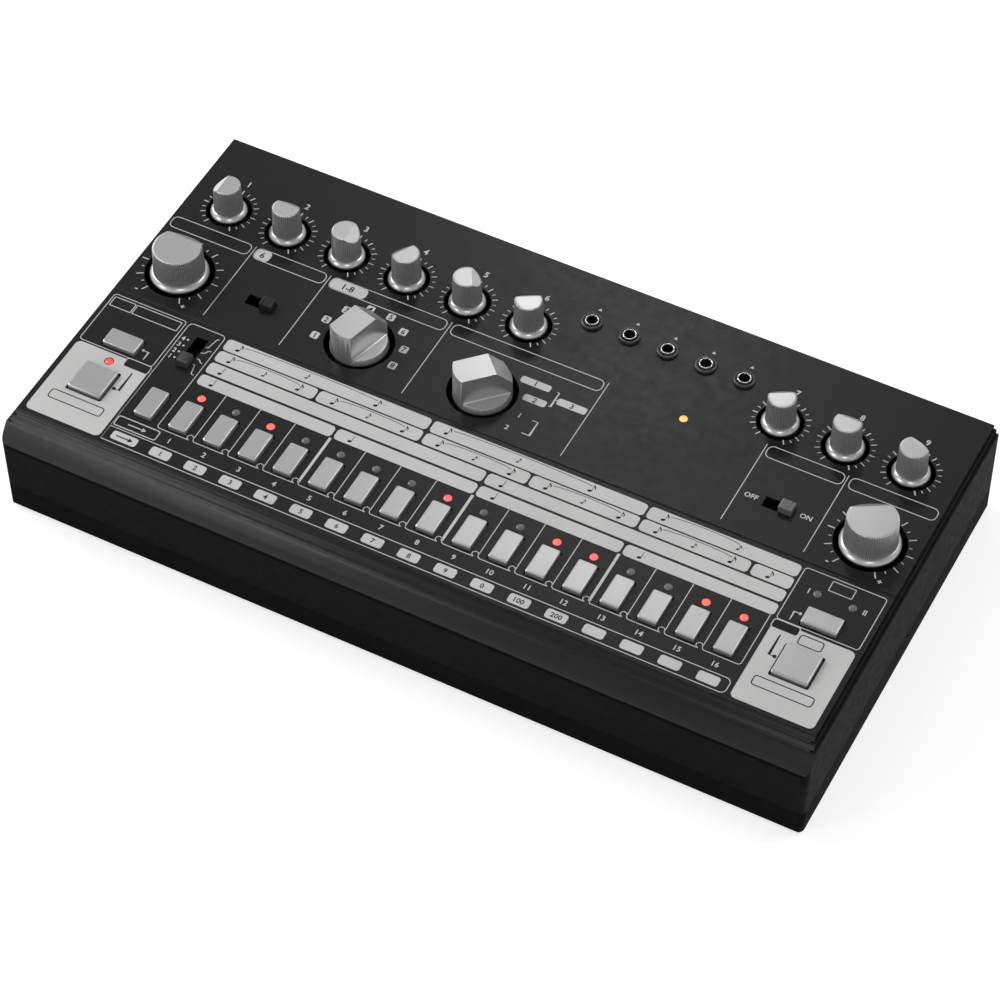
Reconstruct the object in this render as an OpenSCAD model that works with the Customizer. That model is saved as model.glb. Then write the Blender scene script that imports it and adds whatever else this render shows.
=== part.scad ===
// Table-top analogue drum machine with knobs, selectors and a row of sixteen step buttons.
// X runs to the right, Y to the back and Z up. The origin lies under the middle, on the table.

/* [Case] */
// Width across the side cheeks
case_w = 305; // [304:1:312]
// Depth of the case, front crease to foot of the back wall
case_d = 158.8; // [158:0.2:164]
// Height of the case without its feet
case_h = 41.5; // [41:0.5:48]
// Thickness of the panel, base and front wall
shell = 2.2; // [2:0.1:2.4]
// Thickness of the side walls
side_wall = 3.8; // [3.5:0.1:4]
// Depth of the sloped band along the front edge
bevel_run = 9.7; // [9:0.1:10]
// Height of the sloped band along the front edge
bevel_drop = 11.4; // [10:0.1:12]
// How far the front wall leans in towards its foot
front_undercut = 0.3; // [0.1:0.1:0.5]
// How far the back wall leans out towards its foot
back_lean = 1.9; // [1:0.1:2]
// Radius of the upright corners
corner_r = 2.6; // [2:0.1:3.2]
// Height of the bottom shell above the table
split_h = 12; // [11:0.5:13]
// Height of the raised panel above the side cheeks
cheek_drop = 3.7; // [3.6:0.1:4]
// Inset of the raised panel from the side faces
panel_inset = 2.1; // [1.9:0.1:2.3]
// Height of each of the two side grooves
side_groove = 0.6; // [0.4:0.1:0.7]
// Depth of the upper side groove
side_groove_depth = 0.9; // [0.6:0.1:1]
// Distance of the cross groove in front of the middle
cross_groove_y = 9.55; // [9.3:0.05:9.8]
// Width of the cross groove
cross_groove_w = 0.8; // [0.6:0.1:1]

/* [Feet] */
// Height of the rubber feet under the base
foot_h = 1.5; // [1:0.1:2]
// Radius of a rubber foot
foot_r = 6.5; // [5:0.5:7]
// Distance of the feet from the side faces
foot_x = 24.5; // [22:0.5:40]
// Distance of the feet from the front crease and the back wall
foot_y = 18; // [15:0.5:28]

/* [Small knobs] */
// Distance of the outermost small knobs from the side faces
knob_end_x = 19; // [18:0.1:21]
// Radius of the knob skirt
knob_skirt_r = 6.7; // [6.5:0.1:7]
// Radius of the knurled body at its foot
knob_body_r = 5.4; // [5.2:0.1:5.6]
// Radius of the knurled body at its top
knob_top_r = 5; // [4.8:0.05:5.2]
// Height of the knob top above the panel
knob_h = 13; // [12:0.2:14]
// Distance of the pointer edge from the knob axis
knob_pointer = 1.75; // [1.5:0.05:2]
// Spacing of the knobs in their row
knob_pitch = 24.3; // [24:0.1:24.6]
// Distance of the knob row from the back edge of the panel
knob_row_y = 32.4; // [31:0.1:34]

/* [Large knobs] */
// Radius of the large knob skirt
big_skirt_r = 10.6; // [10:0.1:11]
// Radius of the large knob body at its foot
big_body_r = 9.3; // [9.1:0.1:9.5]
// Radius of the large knob body at its top
big_top_r = 8.85; // [8.6:0.05:9.1]
// Height of the large knob top above the panel
big_h = 12.9; // [12:0.1:14]
// Distance of the pointer edge from the large knob axis
big_pointer = 5; // [4.5:0.1:5.5]
// Distance of the large knobs from the side faces
big_x = 18.9; // [18:0.1:21]
// Distance of the large knob and switch row behind the middle
control_row_y = 7.7; // [7.4:0.1:8]

/* [Knob shafts and skirts] */
// Depth of a knob's foot below the face of the panel
knob_sink = 0.2; // [0.1:0.1:0.4]
// Gap in the panel round the skirt of a small knob
small_ring = 1.7; // [1.5:0.1:1.9]
// Gap in the panel round the skirt of a large knob
big_ring = 2; // [1.8:0.1:2.2]
// Gap in the panel round the foot of a selector
selector_ring = 2.1; // [1.9:0.1:2.2]
// Height of a knob skirt
skirt_h = 2; // [1.8:0.1:2.4]
// Slope of the pointer face in degrees
pointer_slope = 42; // [38:1:47]
// Width of the bevel round a knob top
crown_run = 0.8; // [0.6:0.1:1.1]
// Height of the bevel round a knob top
crown_drop = 0.3; // [0.2:0.05:0.6]
// Radius of the knob shafts
shaft_r = 3; // [2.9:0.05:3.1]
// Radial clearance of a shaft in its bushing
shaft_clear = 0.05; // [0.03:0.01:0.08]

/* [Selectors] */
// Radius of a selector at its foot
selector_r = 10.5; // [10.3:0.1:10.8]
// Radius of a selector at its top
selector_top_r = 10.2; // [9.9:0.1:10.2]
// Height of a selector above the panel
selector_h = 12.6; // [12:0.1:13]
// Depth of a selector's foot below the panel face
selector_sink = 1; // [0.6:0.1:1.2]
// Half width of the raised grip
grip_half_w = 5; // [4.7:0.1:5.3]
// Radius of the groove along the foot of the grip
grip_scoop_r = 0.6; // [0.5:0.1:0.8]
// Depth of that groove below the ledge
grip_scoop_dip = 0.1; // [0.05:0.05:0.2]
// Height of the ledge beside the grip
grip_ledge_h = 1.4; // [1.2:0.1:1.8]
// Width of the slope outside the ledge
rim_run = 0.6; // [0.4:0.1:0.8]
// Distance of the nose edge from the selector axis
nose_edge = 3.6; // [3:0.1:4]
// Slope of the nose face in degrees
nose_slope = 48; // [44:1:52]
// Instrument selector position to the left of the middle
instrument_x = 60.7; // [60.2:0.1:61.2]
// Mode selector position to the left of the middle
mode_x = 12.1; // [11.6:0.1:12.4]

/* [Buttons] */
// Width of a step button
key_w = 6.9; // [6.5:0.1:7.2]
// Depth of a step button
key_d = 12.9; // [12.5:0.1:13.2]
// Distance of the button row in front of the middle
key_row_y = 50.45; // [48:0.05:52]
// Distance of the wide buttons from the side faces
wide_x = 19.05; // [18:0.05:21]
// Distance from a wide button to the end of the evenly spaced row
key_first_x = 23.61; // [22:0.01:25]
// Width of the wide buttons
wide_w = 12.9; // [12.5:0.1:13.2]
// Depth of the two short wide buttons
short_d = 7.1; // [6.8:0.1:7.4]
// Distance of the short buttons behind the button row
short_row_y = 19.95; // [19:0.05:21]
// Height of the button tops above the panel
key_h = 1.6; // [1.3:0.1:2]
// Gap around a button
key_gap = 0.4; // [0.3:0.05:0.5]
// Chamfer round the button top
key_chamfer = 0.5; // [0.3:0.1:0.6]
// Travel of a button
key_travel = 0.8; // [0.5:0.1:1]
// Radius of a button stem
stem_r = 1.7; // [1.5:0.1:1.8]
// Radial clearance of a stem in its switch
stem_clear = 0.3; // [0.25:0.05:0.35]
// Width of the flange that holds a button under the panel
flange_w = 1; // [0.8:0.1:1.2]
// Thickness of the button flange
flange_t = 1.2; // [1:0.1:1.4]

/* [Lamps] */
// Radius of a lamp
lamp_r = 1.5; // [1.4:0.1:1.6]
// Clearance round a lamp in the panel
lamp_clear = 0.1; // [0.05:0.05:0.2]
// Distance of the step lamps behind the button row
lamp_row_y = 10.38; // [10:0.01:11]
// Distance of the group lamps behind the short buttons
group_lamp_y = 10.24; // [9:0.01:11]
// Distance of each group lamp from the middle of the short button
group_lamp_x = 6.35; // [6:0.05:6.5]

/* [Slide switches] */
// Distance of the two position switches from the side faces
slide_x = 52.2; // [51:0.1:55]
// Length of the slots of the two position switches
slot_len = 11.2; // [11:0.1:11.4]
// Width of the switch slots
slot_w = 4.6; // [4.4:0.1:4.8]
// Length of the slot of the scale switch
scale_slot_len = 15; // [14.8:0.1:15.2]
// Length of a switch handle
handle_len = 4.8; // [4.6:0.1:5]
// Height of a switch handle above the panel
handle_h = 3; // [2.5:0.1:3.5]
// Side clearance of a switch handle in its slot
handle_clear = 0.2; // [0.15:0.05:0.25]
// Travel of the two position switches
slide_travel = 5.6; // [5:0.1:5.8]
// Spacing of the four scale positions
scale_pitch = 3.1; // [3:0.05:3.2]
// Distance of the scale switch slot in front of the middle
scale_y = 23.65; // [23.4:0.05:23.9]

/* [Sockets] */
// Bore radius of a 3.5 mm jack
mini_bore_r = 1.8; // [1.75:0.05:1.85]
// Thread radius of a 3.5 mm jack
mini_thread_r = 2.9; // [2.8:0.05:3]
// Radius of a 3.5 mm jack nut
mini_nut_r = 3.9; // [3.7:0.1:4.1]
// Thickness of a 3.5 mm jack nut
mini_nut_t = 1.2; // [1:0.1:1.5]
// Spacing of the panel jacks
mini_pitch = 14.71; // [14.5:0.01:14.9]
// Position of the first panel jack to the right of the middle
mini_first_x = 7.1; // [6.8:0.1:7.4]
// Distance of the panel jacks from the back edge of the panel
mini_row_y = 21; // [19:0.1:21.5]
// Spacing of the voice jacks on the back
voice_pitch = 14; // [13:0.5:14.5]
// Bore radius of the 6.35 mm jack
mix_bore_r = 3.2; // [3.15:0.05:3.25]
// Thread radius of the 6.35 mm jack
mix_thread_r = 4.8; // [4.6:0.1:5]
// Reach of the 6.35 mm jack behind the foot of the case
jack_reach = 6.2; // [6:0.1:6.6]
// Radius of a MIDI socket face
midi_r = 7.7; // [7.5:0.1:7.9]
// Distance of the back panel's ends from the side faces
window_inset = 16.5; // [16:0.5:20]
// Distance of the back panel's screws from its ends
rear_screw_inset = 5; // [4.5:0.5:6]
// Gap between the back panel's posts and the outermost socket on each side
socket_end_gap = 2; // [1:0.5:4]

/* [Inside] */
// Distance from the panel down to the upper boards
board_drop = 10.8; // [10.8:0.1:11.2]
// Thickness of the circuit boards
pcb_t = 1.6; // [1.5:0.1:1.7]
// Gap between the upper boards and the side walls
board_side_gap = 6.2; // [5:0.1:8]
// Half of the gap between the two upper boards
board_seam = 2; // [1:0.1:2.5]
// Gap round the case posts in the upper boards
post_gap = 0.5; // [0.4:0.1:1]
// Distance of the main board's sides from the side faces
main_board_inset = 26; // [25.5:0.5:30]
// Radius of the board bosses
boss_r = 3; // [2.8:0.1:3.2]
// Radius of the case screw posts
post_r = 3.6; // [3.4:0.1:3.6]
// Distance of the case screws from the side faces
post_x = 8.6; // [8.4:0.1:9]
// Radius of a screw shank
screw_r = 1.3; // [1.2:0.05:1.35]
// Radius of a screw head
head_r = 2.6; // [2.4:0.1:2.8]
// Height of a screw head
head_h = 1.6; // [1.4:0.1:1.8]
// Height of the posts under the main board
main_post_h = 6.7; // [6.5:0.1:7]

/* [Hidden] */
$fn = 48;
tiny = 0.01;

// Heights
base_z = foot_h;
panel_z = base_z + case_h;
under_z = panel_z - shell;
floor_z = base_z + shell;
cheek_z = panel_z - cheek_drop;
crease_z = panel_z - bevel_drop;
board_z = under_z - board_drop;
main_z = floor_z + main_post_h + pcb_t;
split_z = split_h;

// Front to back places
front_y = -(case_d + jack_reach) / 2;
back_y = front_y + case_d;
tip_y = back_y + jack_reach;
panel_front_y = front_y + bevel_run;
panel_back_y = back_y - back_lean;
inside_w = case_w / 2 - side_wall;
panel_half_w = case_w / 2 - panel_inset;

// Inner corners of the bevel, a wall thickness inside the outer ones
bevel_angle = atan2(bevel_drop, bevel_run);
inner_top_y = panel_front_y + shell * tan(bevel_angle / 2);
inner_crease_z = crease_z - shell * tan((90 - bevel_angle) / 2);

// Bulge of the bevel
bevel_len = sqrt(bevel_run * bevel_run + bevel_drop * bevel_drop);
bevel_bulge = bevel_len / 18;
bulge_r = (bevel_len * bevel_len / 4 + bevel_bulge * bevel_bulge) / (2 * bevel_bulge);

// Control places
small_end = case_w / 2 - knob_end_x;
small_left_x = [for (i = [0 : 5]) -small_end + i * knob_pitch];
small_right_x = [for (i = [0 : 2]) small_end - i * knob_pitch];
small_x = concat(small_left_x, small_right_x);
small_y = panel_back_y - knob_row_y;
big_place = case_w / 2 - big_x;
wide_place = case_w / 2 - wide_x;
key_count = 16;
function_x = -wide_place + key_first_x;
key_pitch = -2 * function_x / key_count;
key_x = [for (i = [1 : key_count]) function_x + i * key_pitch];
key_y = -key_row_y;
short_y = key_y + short_row_y;
lamp_y = key_y + lamp_row_y;
mini_x = [for (i = [0 : 4]) mini_first_x + i * mini_pitch];
mini_y = panel_back_y - mini_row_y;
scale_x = function_x;
slide_place = case_w / 2 - slide_x;
power_lamp = [54.9, 28.15];
lamp_xy = concat(
    [for (x = key_x) [x, lamp_y]],
    [[-wide_place, lamp_y], power_lamp],
    [for (s = [-1, 1]) [wide_place + s * group_lamp_x, short_y + group_lamp_y]]
);
tact_xy = concat(
    [for (x = key_x) [x, key_y]],
    [[function_x, key_y], [-wide_place, key_y], [wide_place, key_y]],
    [[-wide_place, short_y], [wide_place, short_y]]
);

// Pointer angles of the knobs, clockwise from the back
angle_accent = -90;
angle_bass_drum = 0;
angle_snare_drum = 90;
angle_tom = -60;
angle_cymbal_clap = 60;
angle_hi_hat = -30;
angle_distortion = -30;
angle_tone = 0;
angle_level = 30;
angle_tempo = 0;
angle_volume = -30;
angle_instrument = 15;
angle_mode = 45;

// Inner hardware
pot_half = 5.6;
pot_h = 6.5;
thread_r = 3.45;
thread_gap = 0.5;
rotary_r = 9.5;
rotary_h = 8;
shaft_seat = 1.8;
tact_half = 3.1;
tact_h = 3.5;
tact_floor = 1.9;
switch_body_w = 7.4;
switch_body_h = 5.5;
blade_w = 2.4;
blade_len = 2.6;
blade_clear = 0.3;
blade_floor = 1.2;
slide_rest = slide_travel / 2;
scale_rest = 1.5 * scale_pitch;
case_screw_z = base_z + 3.6;
stem_end = tact_floor + key_travel + 0.5;
boss_top = under_z - tiny;
screw_clear = 0.05;
hole_clear = 0.3;
pilot_depth = 7;
rear_bite = 4;
end_boss_x = big_place - 12.3;
mid_boss_x = 36.3;
low_boss_x = 84;
front_boss_x = 41;
upper_boss_y = 24;
lower_boss_y = -3;
button_boss_y = -24;
between_keys_x = (key_x[0] + key_x[1]) / 2;
front_boss_y = key_y - 13.55;
panel_boss_xy = concat(
    [for (x = [-end_boss_x, -mid_boss_x, mid_boss_x, end_boss_x]) [x, upper_boss_y]],
    [for (x = [-low_boss_x, mid_boss_x, low_boss_x]) [x, lower_boss_y]]
);
button_boss_xy = concat(
    [for (x = [-end_boss_x, -front_boss_x, front_boss_x, end_boss_x]) [x, front_boss_y]],
    [for (x = [between_keys_x, 0, -between_keys_x]) [x, button_boss_y]]
);
post_place = case_w / 2 - post_x;
case_post_front_y = key_y - 15.55;
case_post_mid_y = control_row_y - 15;
case_post_back_y = back_y - 12.3;
case_post_y = [case_post_front_y, case_post_mid_y, case_post_back_y];
board_half_w = inside_w - board_side_gap;
panel_board_y = [-cross_groove_y + board_seam, small_y + 6.5];
button_board_y = [front_boss_y - 4, -cross_groove_y - board_seam];
jack_ear_x = [mini_x[0] - 6.5, mini_x[4] + 6.5];
jack_ear_y = mini_y + 5.6;
main_board_half_w = case_w / 2 - main_board_inset;
main_board_y = [front_y + 22.5, panel_back_y - 4.4];
main_post_x = main_board_half_w - 14;
main_post_y = [main_board_y[0] + 10, main_board_y[1] - 30];
main_post_xy = [for (x = [-main_post_x, 0, main_post_x]) for (y = main_post_y) [x, y]];
header_xy = [[-40, -35], [40, -35], [-20, 25], [70, 25]];

// Back panel and what it carries
plate_t = 2;
plate_out_y = panel_back_y + 1;
plate_in_y = plate_out_y - plate_t;
window_half_w = case_w / 2 - window_inset;
window_top_z = panel_z - 6.5;
plate_gap = 0.2;
socket_gap = 0.2;
rear_post_x = window_half_w - rear_screw_inset;
rear_post_half_w = 3.5;
mix_body_w = 16;
power_half = 6.5;
socket_end_x = rear_post_x - rear_post_half_w - socket_end_gap;
mix_x = -socket_end_x + mix_body_w / 2;
mix_to_voice = 24;
voice_x = [for (i = [0 : 6]) mix_x + mix_to_voice + i * voice_pitch];
power_x = socket_end_x - power_half;
socket_pitch = 16;
inlet_x = power_x - socket_pitch;
usb_x = inlet_x - socket_pitch;
midi_pitch = 26;
usb_to_midi = 24;
midi_x = [usb_x - usb_to_midi - midi_pitch, usb_x - usb_to_midi];
rear_screw_z = [floor_z + 14, window_top_z - 5];
voice_z = main_z + 5;
mix_z = main_z + 9;
midi_z = main_z + 10;
usb_half_w = 6;
usb_h = 11;
inlet_half_w = 4.5;
inlet_h = 11;
inlet_bore_r = 2.9;
inlet_z = main_z + 6;
mini_body = 9;
cap_half = 3;
cap_clear = 0.3;
cap_travel = 2;
cap_z = main_z + 7;
power_body_h = 13;
mix_hex_r = 7.4;
mix_nut_t = 2.4;

// ---- Outlines ----

// Side view of the case, Y to the right and Z up
module side_outline() {
    polygon([
        [front_y + front_undercut, base_z],
        [front_y, crease_z],
        [panel_front_y, panel_z],
        [panel_back_y, panel_z],
        [back_y, base_z]
    ]);
    intersection() {
        translate([front_y, crease_z])
            rotate(bevel_angle)
                translate([bevel_len / 2, bevel_bulge - bulge_r])
                    circle(bulge_r, $fn = 180);
        polygon([
            [front_y, crease_z],
            [panel_front_y, panel_z],
            [front_y, panel_z],
            [front_y - 1, panel_z],
            [front_y - 1, crease_z]
        ]);
    }
}

// Front view of the case with the two grooves in each side
module front_outline() {
    rib_top_z = cheek_z + side_groove * 2 + 1.3;
    half = [
        [case_w / 2, base_z],
        [case_w / 2, cheek_z],
        [panel_half_w, cheek_z],
        [panel_half_w, cheek_z + side_groove],
        [panel_half_w + 1, cheek_z + side_groove],
        [panel_half_w + 1, rib_top_z - side_groove],
        [panel_half_w - side_groove_depth, rib_top_z - side_groove],
        [panel_half_w - side_groove_depth, rib_top_z],
        [panel_half_w, rib_top_z],
        [panel_half_w, panel_z + 1]
    ];
    mirrored = [for (i = [len(half) - 1 : -1 : 0]) [-half[i][0], half[i][1]]];
    polygon(concat(half, mirrored));
}

// Rectangle with round corners, from the named pieces only
module round_rect(w, d, r) {
    square([w - 2 * r, d], center = true);
    square([w, d - 2 * r], center = true);
    for (x = [-1, 1]) for (y = [-1, 1])
        translate([x * (w / 2 - r), y * (d / 2 - r)]) circle(r);
}

module along_x(w) {
    rotate([90, 0, 90]) translate([0, 0, -w / 2]) linear_extrude(w) children();
}

module along_y(y0, y1) {
    translate([0, y1, 0]) rotate([90, 0, 0]) linear_extrude(y1 - y0) children();
}

// The closed outer body of the case
module case_block() {
    intersection() {
        along_x(case_w) side_outline();
        along_y(front_y - 1, back_y + 1) front_outline();
        translate([0, (front_y + back_y) / 2, 0])
            linear_extrude(panel_z + 1) round_rect(case_w, case_d, corner_r);
    }
}

// The hollow inside the case
module case_hollow() {
    along_x(2 * inside_w) polygon([
        [front_y + front_undercut + shell, floor_z],
        [front_y + shell, inner_crease_z],
        [inner_top_y, under_z],
        [panel_back_y - shell, under_z],
        [back_y - shell, floor_z]
    ]);
}

// Everything above or below the joint between the two shells
module upper_half() {
    translate([-case_w, front_y - 10, split_z]) cube([2 * case_w, case_d + 30, case_h + 10]);
}

module lower_half() {
    translate([-case_w, front_y - 10, -1]) cube([2 * case_w, case_d + 30, split_z + 1]);
}

// ---- Case ----

// All the openings in the top panel
module panel_cuts() {
    for (x = small_x) translate([x, small_y]) circle(knob_skirt_r + small_ring);
    for (x = [-big_place, big_place]) translate([x, control_row_y]) circle(big_skirt_r + big_ring);
    for (x = [-instrument_x, -mode_x])
        translate([x, control_row_y]) circle(selector_r + selector_ring);
    for (x = [-slide_place, slide_place])
        translate([x, control_row_y]) square([slot_len, slot_w], center = true);
    translate([scale_x, -scale_y]) square([slot_w, scale_slot_len], center = true);
    for (x = concat(key_x, [function_x]))
        translate([x, key_y]) square([key_w + 2 * key_gap, key_d + 2 * key_gap], center = true);
    for (x = [-wide_place, wide_place]) {
        translate([x, key_y]) square([wide_w + 2 * key_gap, key_d + 2 * key_gap], center = true);
        translate([x, short_y])
            square([wide_w + 2 * key_gap, short_d + 2 * key_gap], center = true);
    }
    for (p = lamp_xy) translate(p) circle(lamp_r + lamp_clear);
    for (x = mini_x) translate([x, mini_y]) circle(mini_thread_r + lamp_clear);
}

// A boss under the panel, with a pilot hole for a screw from below
module board_boss() {
    difference() {
        translate([0, 0, board_z]) cylinder(h = boss_top - board_z + shell / 2, r = boss_r);
        translate([0, 0, board_z - tiny]) cylinder(h = pilot_depth, r = screw_r + screw_clear);
    }
}

module case_post() {
    difference() {
        translate([0, 0, split_z]) cylinder(h = under_z - split_z + shell / 2, r = post_r);
        translate([0, 0, split_z - tiny]) cylinder(h = pilot_depth + 3, r = screw_r + screw_clear);
    }
}

// Posts that the back panel is screwed to
module rear_post() {
    post_d = 6;
    post_low_z = split_z + 3.5;
    difference() {
        translate([-rear_post_half_w, plate_in_y - plate_gap / 2 - post_d, post_low_z])
            cube([2 * rear_post_half_w, post_d, under_z - post_low_z + shell / 2]);
        for (z = rear_screw_z)
            translate([0, plate_in_y, z])
                rotate([90, 0, 0]) cylinder(h = post_d - 1, r = screw_r + screw_clear);
    }
}

module top_case() {
    color("#232325") {
        difference() {
            intersection() {
                case_block();
                upper_half();
            }
            case_hollow();
            translate([0, 0, under_z - 1]) linear_extrude(shell + 3) panel_cuts();
            along_x(case_w + 2) polygon([
                [-cross_groove_y - cross_groove_w / 2, panel_z + tiny],
                [-cross_groove_y, panel_z - cross_groove_w / 2],
                [-cross_groove_y + cross_groove_w / 2, panel_z + tiny]
            ]);
            translate([-window_half_w, plate_in_y - 1.5, split_z - 1])
                cube([2 * window_half_w, back_y - plate_in_y + 5, window_top_z - split_z + 1]);
        }
        for (p = concat(panel_boss_xy, button_boss_xy)) translate(p) board_boss();
        for (x = [-post_place, post_place]) for (y = case_post_y) translate([x, y]) case_post();
        for (x = [-rear_post_x, rear_post_x]) translate([x, 0]) rear_post();
    }
}

// Counterbored foot of one case screw
module screw_standoff() {
    translate([0, 0, floor_z - tiny]) cylinder(h = split_z - floor_z + tiny, r = post_r + 1.4);
}

module screw_counterbore() {
    translate([0, 0, base_z - 1]) cylinder(h = case_screw_z - base_z + 1, r = head_r + hole_clear);
    translate([0, 0, base_z]) cylinder(h = split_z - base_z + 1, r = screw_r + hole_clear);
}

// Tab that lines the two shells up
module tab(len, t) {
    translate([-len / 2, -0.4, split_z - 3]) cube([len, t + 0.4, 3]);
    translate([-len / 2, 0.2, split_z - tiny]) cube([len, t - 0.2, 2.5]);
}

module alignment_tabs() {
    tab_t = 1.6;
    side_tab_y = [-38, 30];
    side_tab_len = 22;
    front_tab_len = 30;
    for (y = side_tab_y) {
        translate([-inside_w, y]) rotate(-90) tab(side_tab_len, tab_t);
        translate([inside_w, y]) rotate(90) tab(side_tab_len, tab_t);
    }
    for (i = [-1.5 : 1.5])
        translate([2 * i * front_tab_len, front_y + front_undercut + shell])
            tab(front_tab_len, tab_t);
}

module bottom_case() {
    color("#202022") difference() {
        union() {
            difference() {
                intersection() {
                    case_block();
                    lower_half();
                }
                case_hollow();
            }
            for (x = [-post_place, post_place]) for (y = case_post_y) translate([x, y]) screw_standoff();
            for (p = main_post_xy)
                translate([p[0], p[1], floor_z - tiny])
                    cylinder(h = main_post_h + tiny, r = boss_r + 0.5);
            alignment_tabs();
        }
        for (x = [-post_place, post_place]) for (y = case_post_y) translate([x, y]) screw_counterbore();
        for (p = main_post_xy)
            translate([p[0], p[1], floor_z + 0.5])
                cylinder(h = main_post_h + 1, r = screw_r + screw_clear);
    }
}

module rear_panel() {
    plate_low_z = split_z + plate_gap;
    plate_high_z = window_top_z - plate_gap;
    plate_half_w = window_half_w - plate_gap;
    color("#262628") difference() {
        translate([-plate_half_w, plate_in_y, plate_low_z])
            cube([2 * plate_half_w, plate_t, plate_high_z - plate_low_z]);
        along_y(plate_in_y - 1, plate_out_y + 1) {
            for (x = voice_x) translate([x, voice_z]) circle(mini_thread_r + lamp_clear);
            translate([mix_x, mix_z]) circle(mix_thread_r + lamp_clear);
            for (x = midi_x) translate([x, midi_z]) circle(midi_r + socket_gap);
            translate([usb_x - usb_half_w - socket_gap, main_z - 1])
                square([2 * (usb_half_w + socket_gap), usb_h + 1 + socket_gap]);
            translate([inlet_x, inlet_z]) circle(inlet_bore_r + 1);
            translate([power_x, cap_z]) square(2 * (cap_half + cap_clear + socket_gap), center = true);
            for (x = [-rear_post_x, rear_post_x]) for (z = rear_screw_z)
                translate([x, z]) circle(screw_r + hole_clear);
        }
    }
}

module rubber_feet() {
    foot_place = case_w / 2 - foot_x;
    color("#151515") for (x = [-foot_place, foot_place]) for (y = [front_y + foot_y, back_y - foot_y])
        translate([x, y]) cylinder(h = foot_h, r = foot_r);
}

// A screw standing head down, its head's bearing face at the origin
module screw(len) {
    translate([0, 0, -head_h]) difference() {
        cylinder(h = head_h, r = head_r);
        translate([-head_r, -0.4, -tiny]) cube([2 * head_r, 0.8, 0.8]);
    }
    translate([0, 0, -tiny]) cylinder(h = len, r = screw_r);
}

module screws() {
    color("#8f8f92") {
        for (x = [-post_place, post_place]) for (y = case_post_y)
            translate([x, y, case_screw_z]) screw(split_z - case_screw_z + pilot_depth + 2);
        for (p = concat(panel_boss_xy, button_boss_xy))
            translate([p[0], p[1], board_z - pcb_t]) screw(pcb_t + pilot_depth - 1);
        for (p = main_post_xy)
            translate([p[0], p[1], main_z]) mirror([0, 0, 1]) screw(pcb_t + main_post_h - 1);
        for (x = [-rear_post_x, rear_post_x]) for (z = rear_screw_z)
            translate([x, plate_out_y, z]) rotate([90, 0, 0]) screw(plate_t + plate_gap / 2 + rear_bite);
    }
}

// ---- Boards and their parts ----

// A board with room for the case posts; whatever outline is handed in becomes part of it
module board(half_w, y_range, top_z, holes) {
    color("#1f5a3a") translate([0, 0, top_z - pcb_t]) linear_extrude(pcb_t) difference() {
        union() {
            translate([-half_w, y_range[0]]) square([2 * half_w, y_range[1] - y_range[0]]);
            children();
        }
        for (p = holes) translate(p) circle(screw_r + hole_clear);
        for (x = [-post_place, post_place]) for (y = case_post_y)
            translate([x, y]) circle(post_r + post_gap);
    }
}

module panel_board() {
    board(board_half_w, panel_board_y, board_z, panel_boss_xy)
        translate([jack_ear_x[0], small_y])
            square([jack_ear_x[1] - jack_ear_x[0], jack_ear_y - small_y]);
}

module button_board() {
    board(board_half_w, button_board_y, board_z, button_boss_xy);
}

module main_board() {
    board(main_board_half_w, main_board_y, main_z, main_post_xy);
}

// Pin headers that join the main board to the two upper boards
module board_connectors() {
    header_h = board_z - pcb_t - main_z;
    color("#1a1a1a") for (p = header_xy) translate([p[0], p[1], main_z]) {
        translate([-12, -2.5, 0]) cube([24, 5, header_h / 2]);
        translate([-12, -2.5, header_h / 2]) cube([24, 5, header_h / 2]);
    }
}

module potentiometer() {
    thread_top = under_z - thread_gap;
    difference() {
        union() {
            translate([-pot_half, -pot_half, board_z]) cube([2 * pot_half, 2 * pot_half, pot_h]);
            translate([0, 0, board_z + pot_h - tiny])
                cylinder(h = thread_top - board_z - pot_h + tiny, r = thread_r);
        }
        translate([0, 0, board_z + 1.4]) cylinder(h = case_h, r = shaft_r + shaft_clear);
    }
}

module potentiometers() {
    color("#6f7277") {
        for (x = small_x) translate([x, small_y]) potentiometer();
        for (x = [-big_place, big_place]) translate([x, control_row_y]) potentiometer();
    }
}

module rotary_switches() {
    thread_top = under_z - thread_gap;
    color("#2f3338") for (x = [-instrument_x, -mode_x]) translate([x, control_row_y]) difference() {
        union() {
            translate([0, 0, board_z]) cylinder(h = rotary_h, r = rotary_r);
            translate([0, 0, board_z + rotary_h - tiny])
                cylinder(h = thread_top - board_z - rotary_h + tiny, r = thread_r + 1);
        }
        translate([0, 0, board_z + 1.4]) cylinder(h = case_h, r = shaft_r + shaft_clear);
    }
}

// Body of a slide switch, its slot along X
module switch_body(travel) {
    slot = travel + blade_len + 2 * blade_clear;
    translate([-slot / 2 - 2, -switch_body_w / 2, board_z]) difference() {
        cube([slot + 4, switch_body_w, switch_body_h]);
        translate([2, switch_body_w / 2 - blade_w / 2 - blade_clear, blade_floor])
            cube([slot, blade_w + 2 * blade_clear, switch_body_h]);
    }
}

module slide_switch_bodies() {
    color("#55585c") {
        for (x = [-slide_place, slide_place]) translate([x, control_row_y]) switch_body(slide_travel);
        translate([scale_x, -scale_y]) rotate(90) switch_body(3 * scale_pitch);
    }
}

module tact_switches() {
    color("#3b3e42") for (p = tact_xy) translate([p[0], p[1], board_z]) difference() {
        translate([-tact_half, -tact_half, 0]) cube([2 * tact_half, 2 * tact_half, tact_h]);
        translate([0, 0, tact_floor]) cylinder(h = tact_h, r = stem_r + stem_clear);
    }
}

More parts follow.
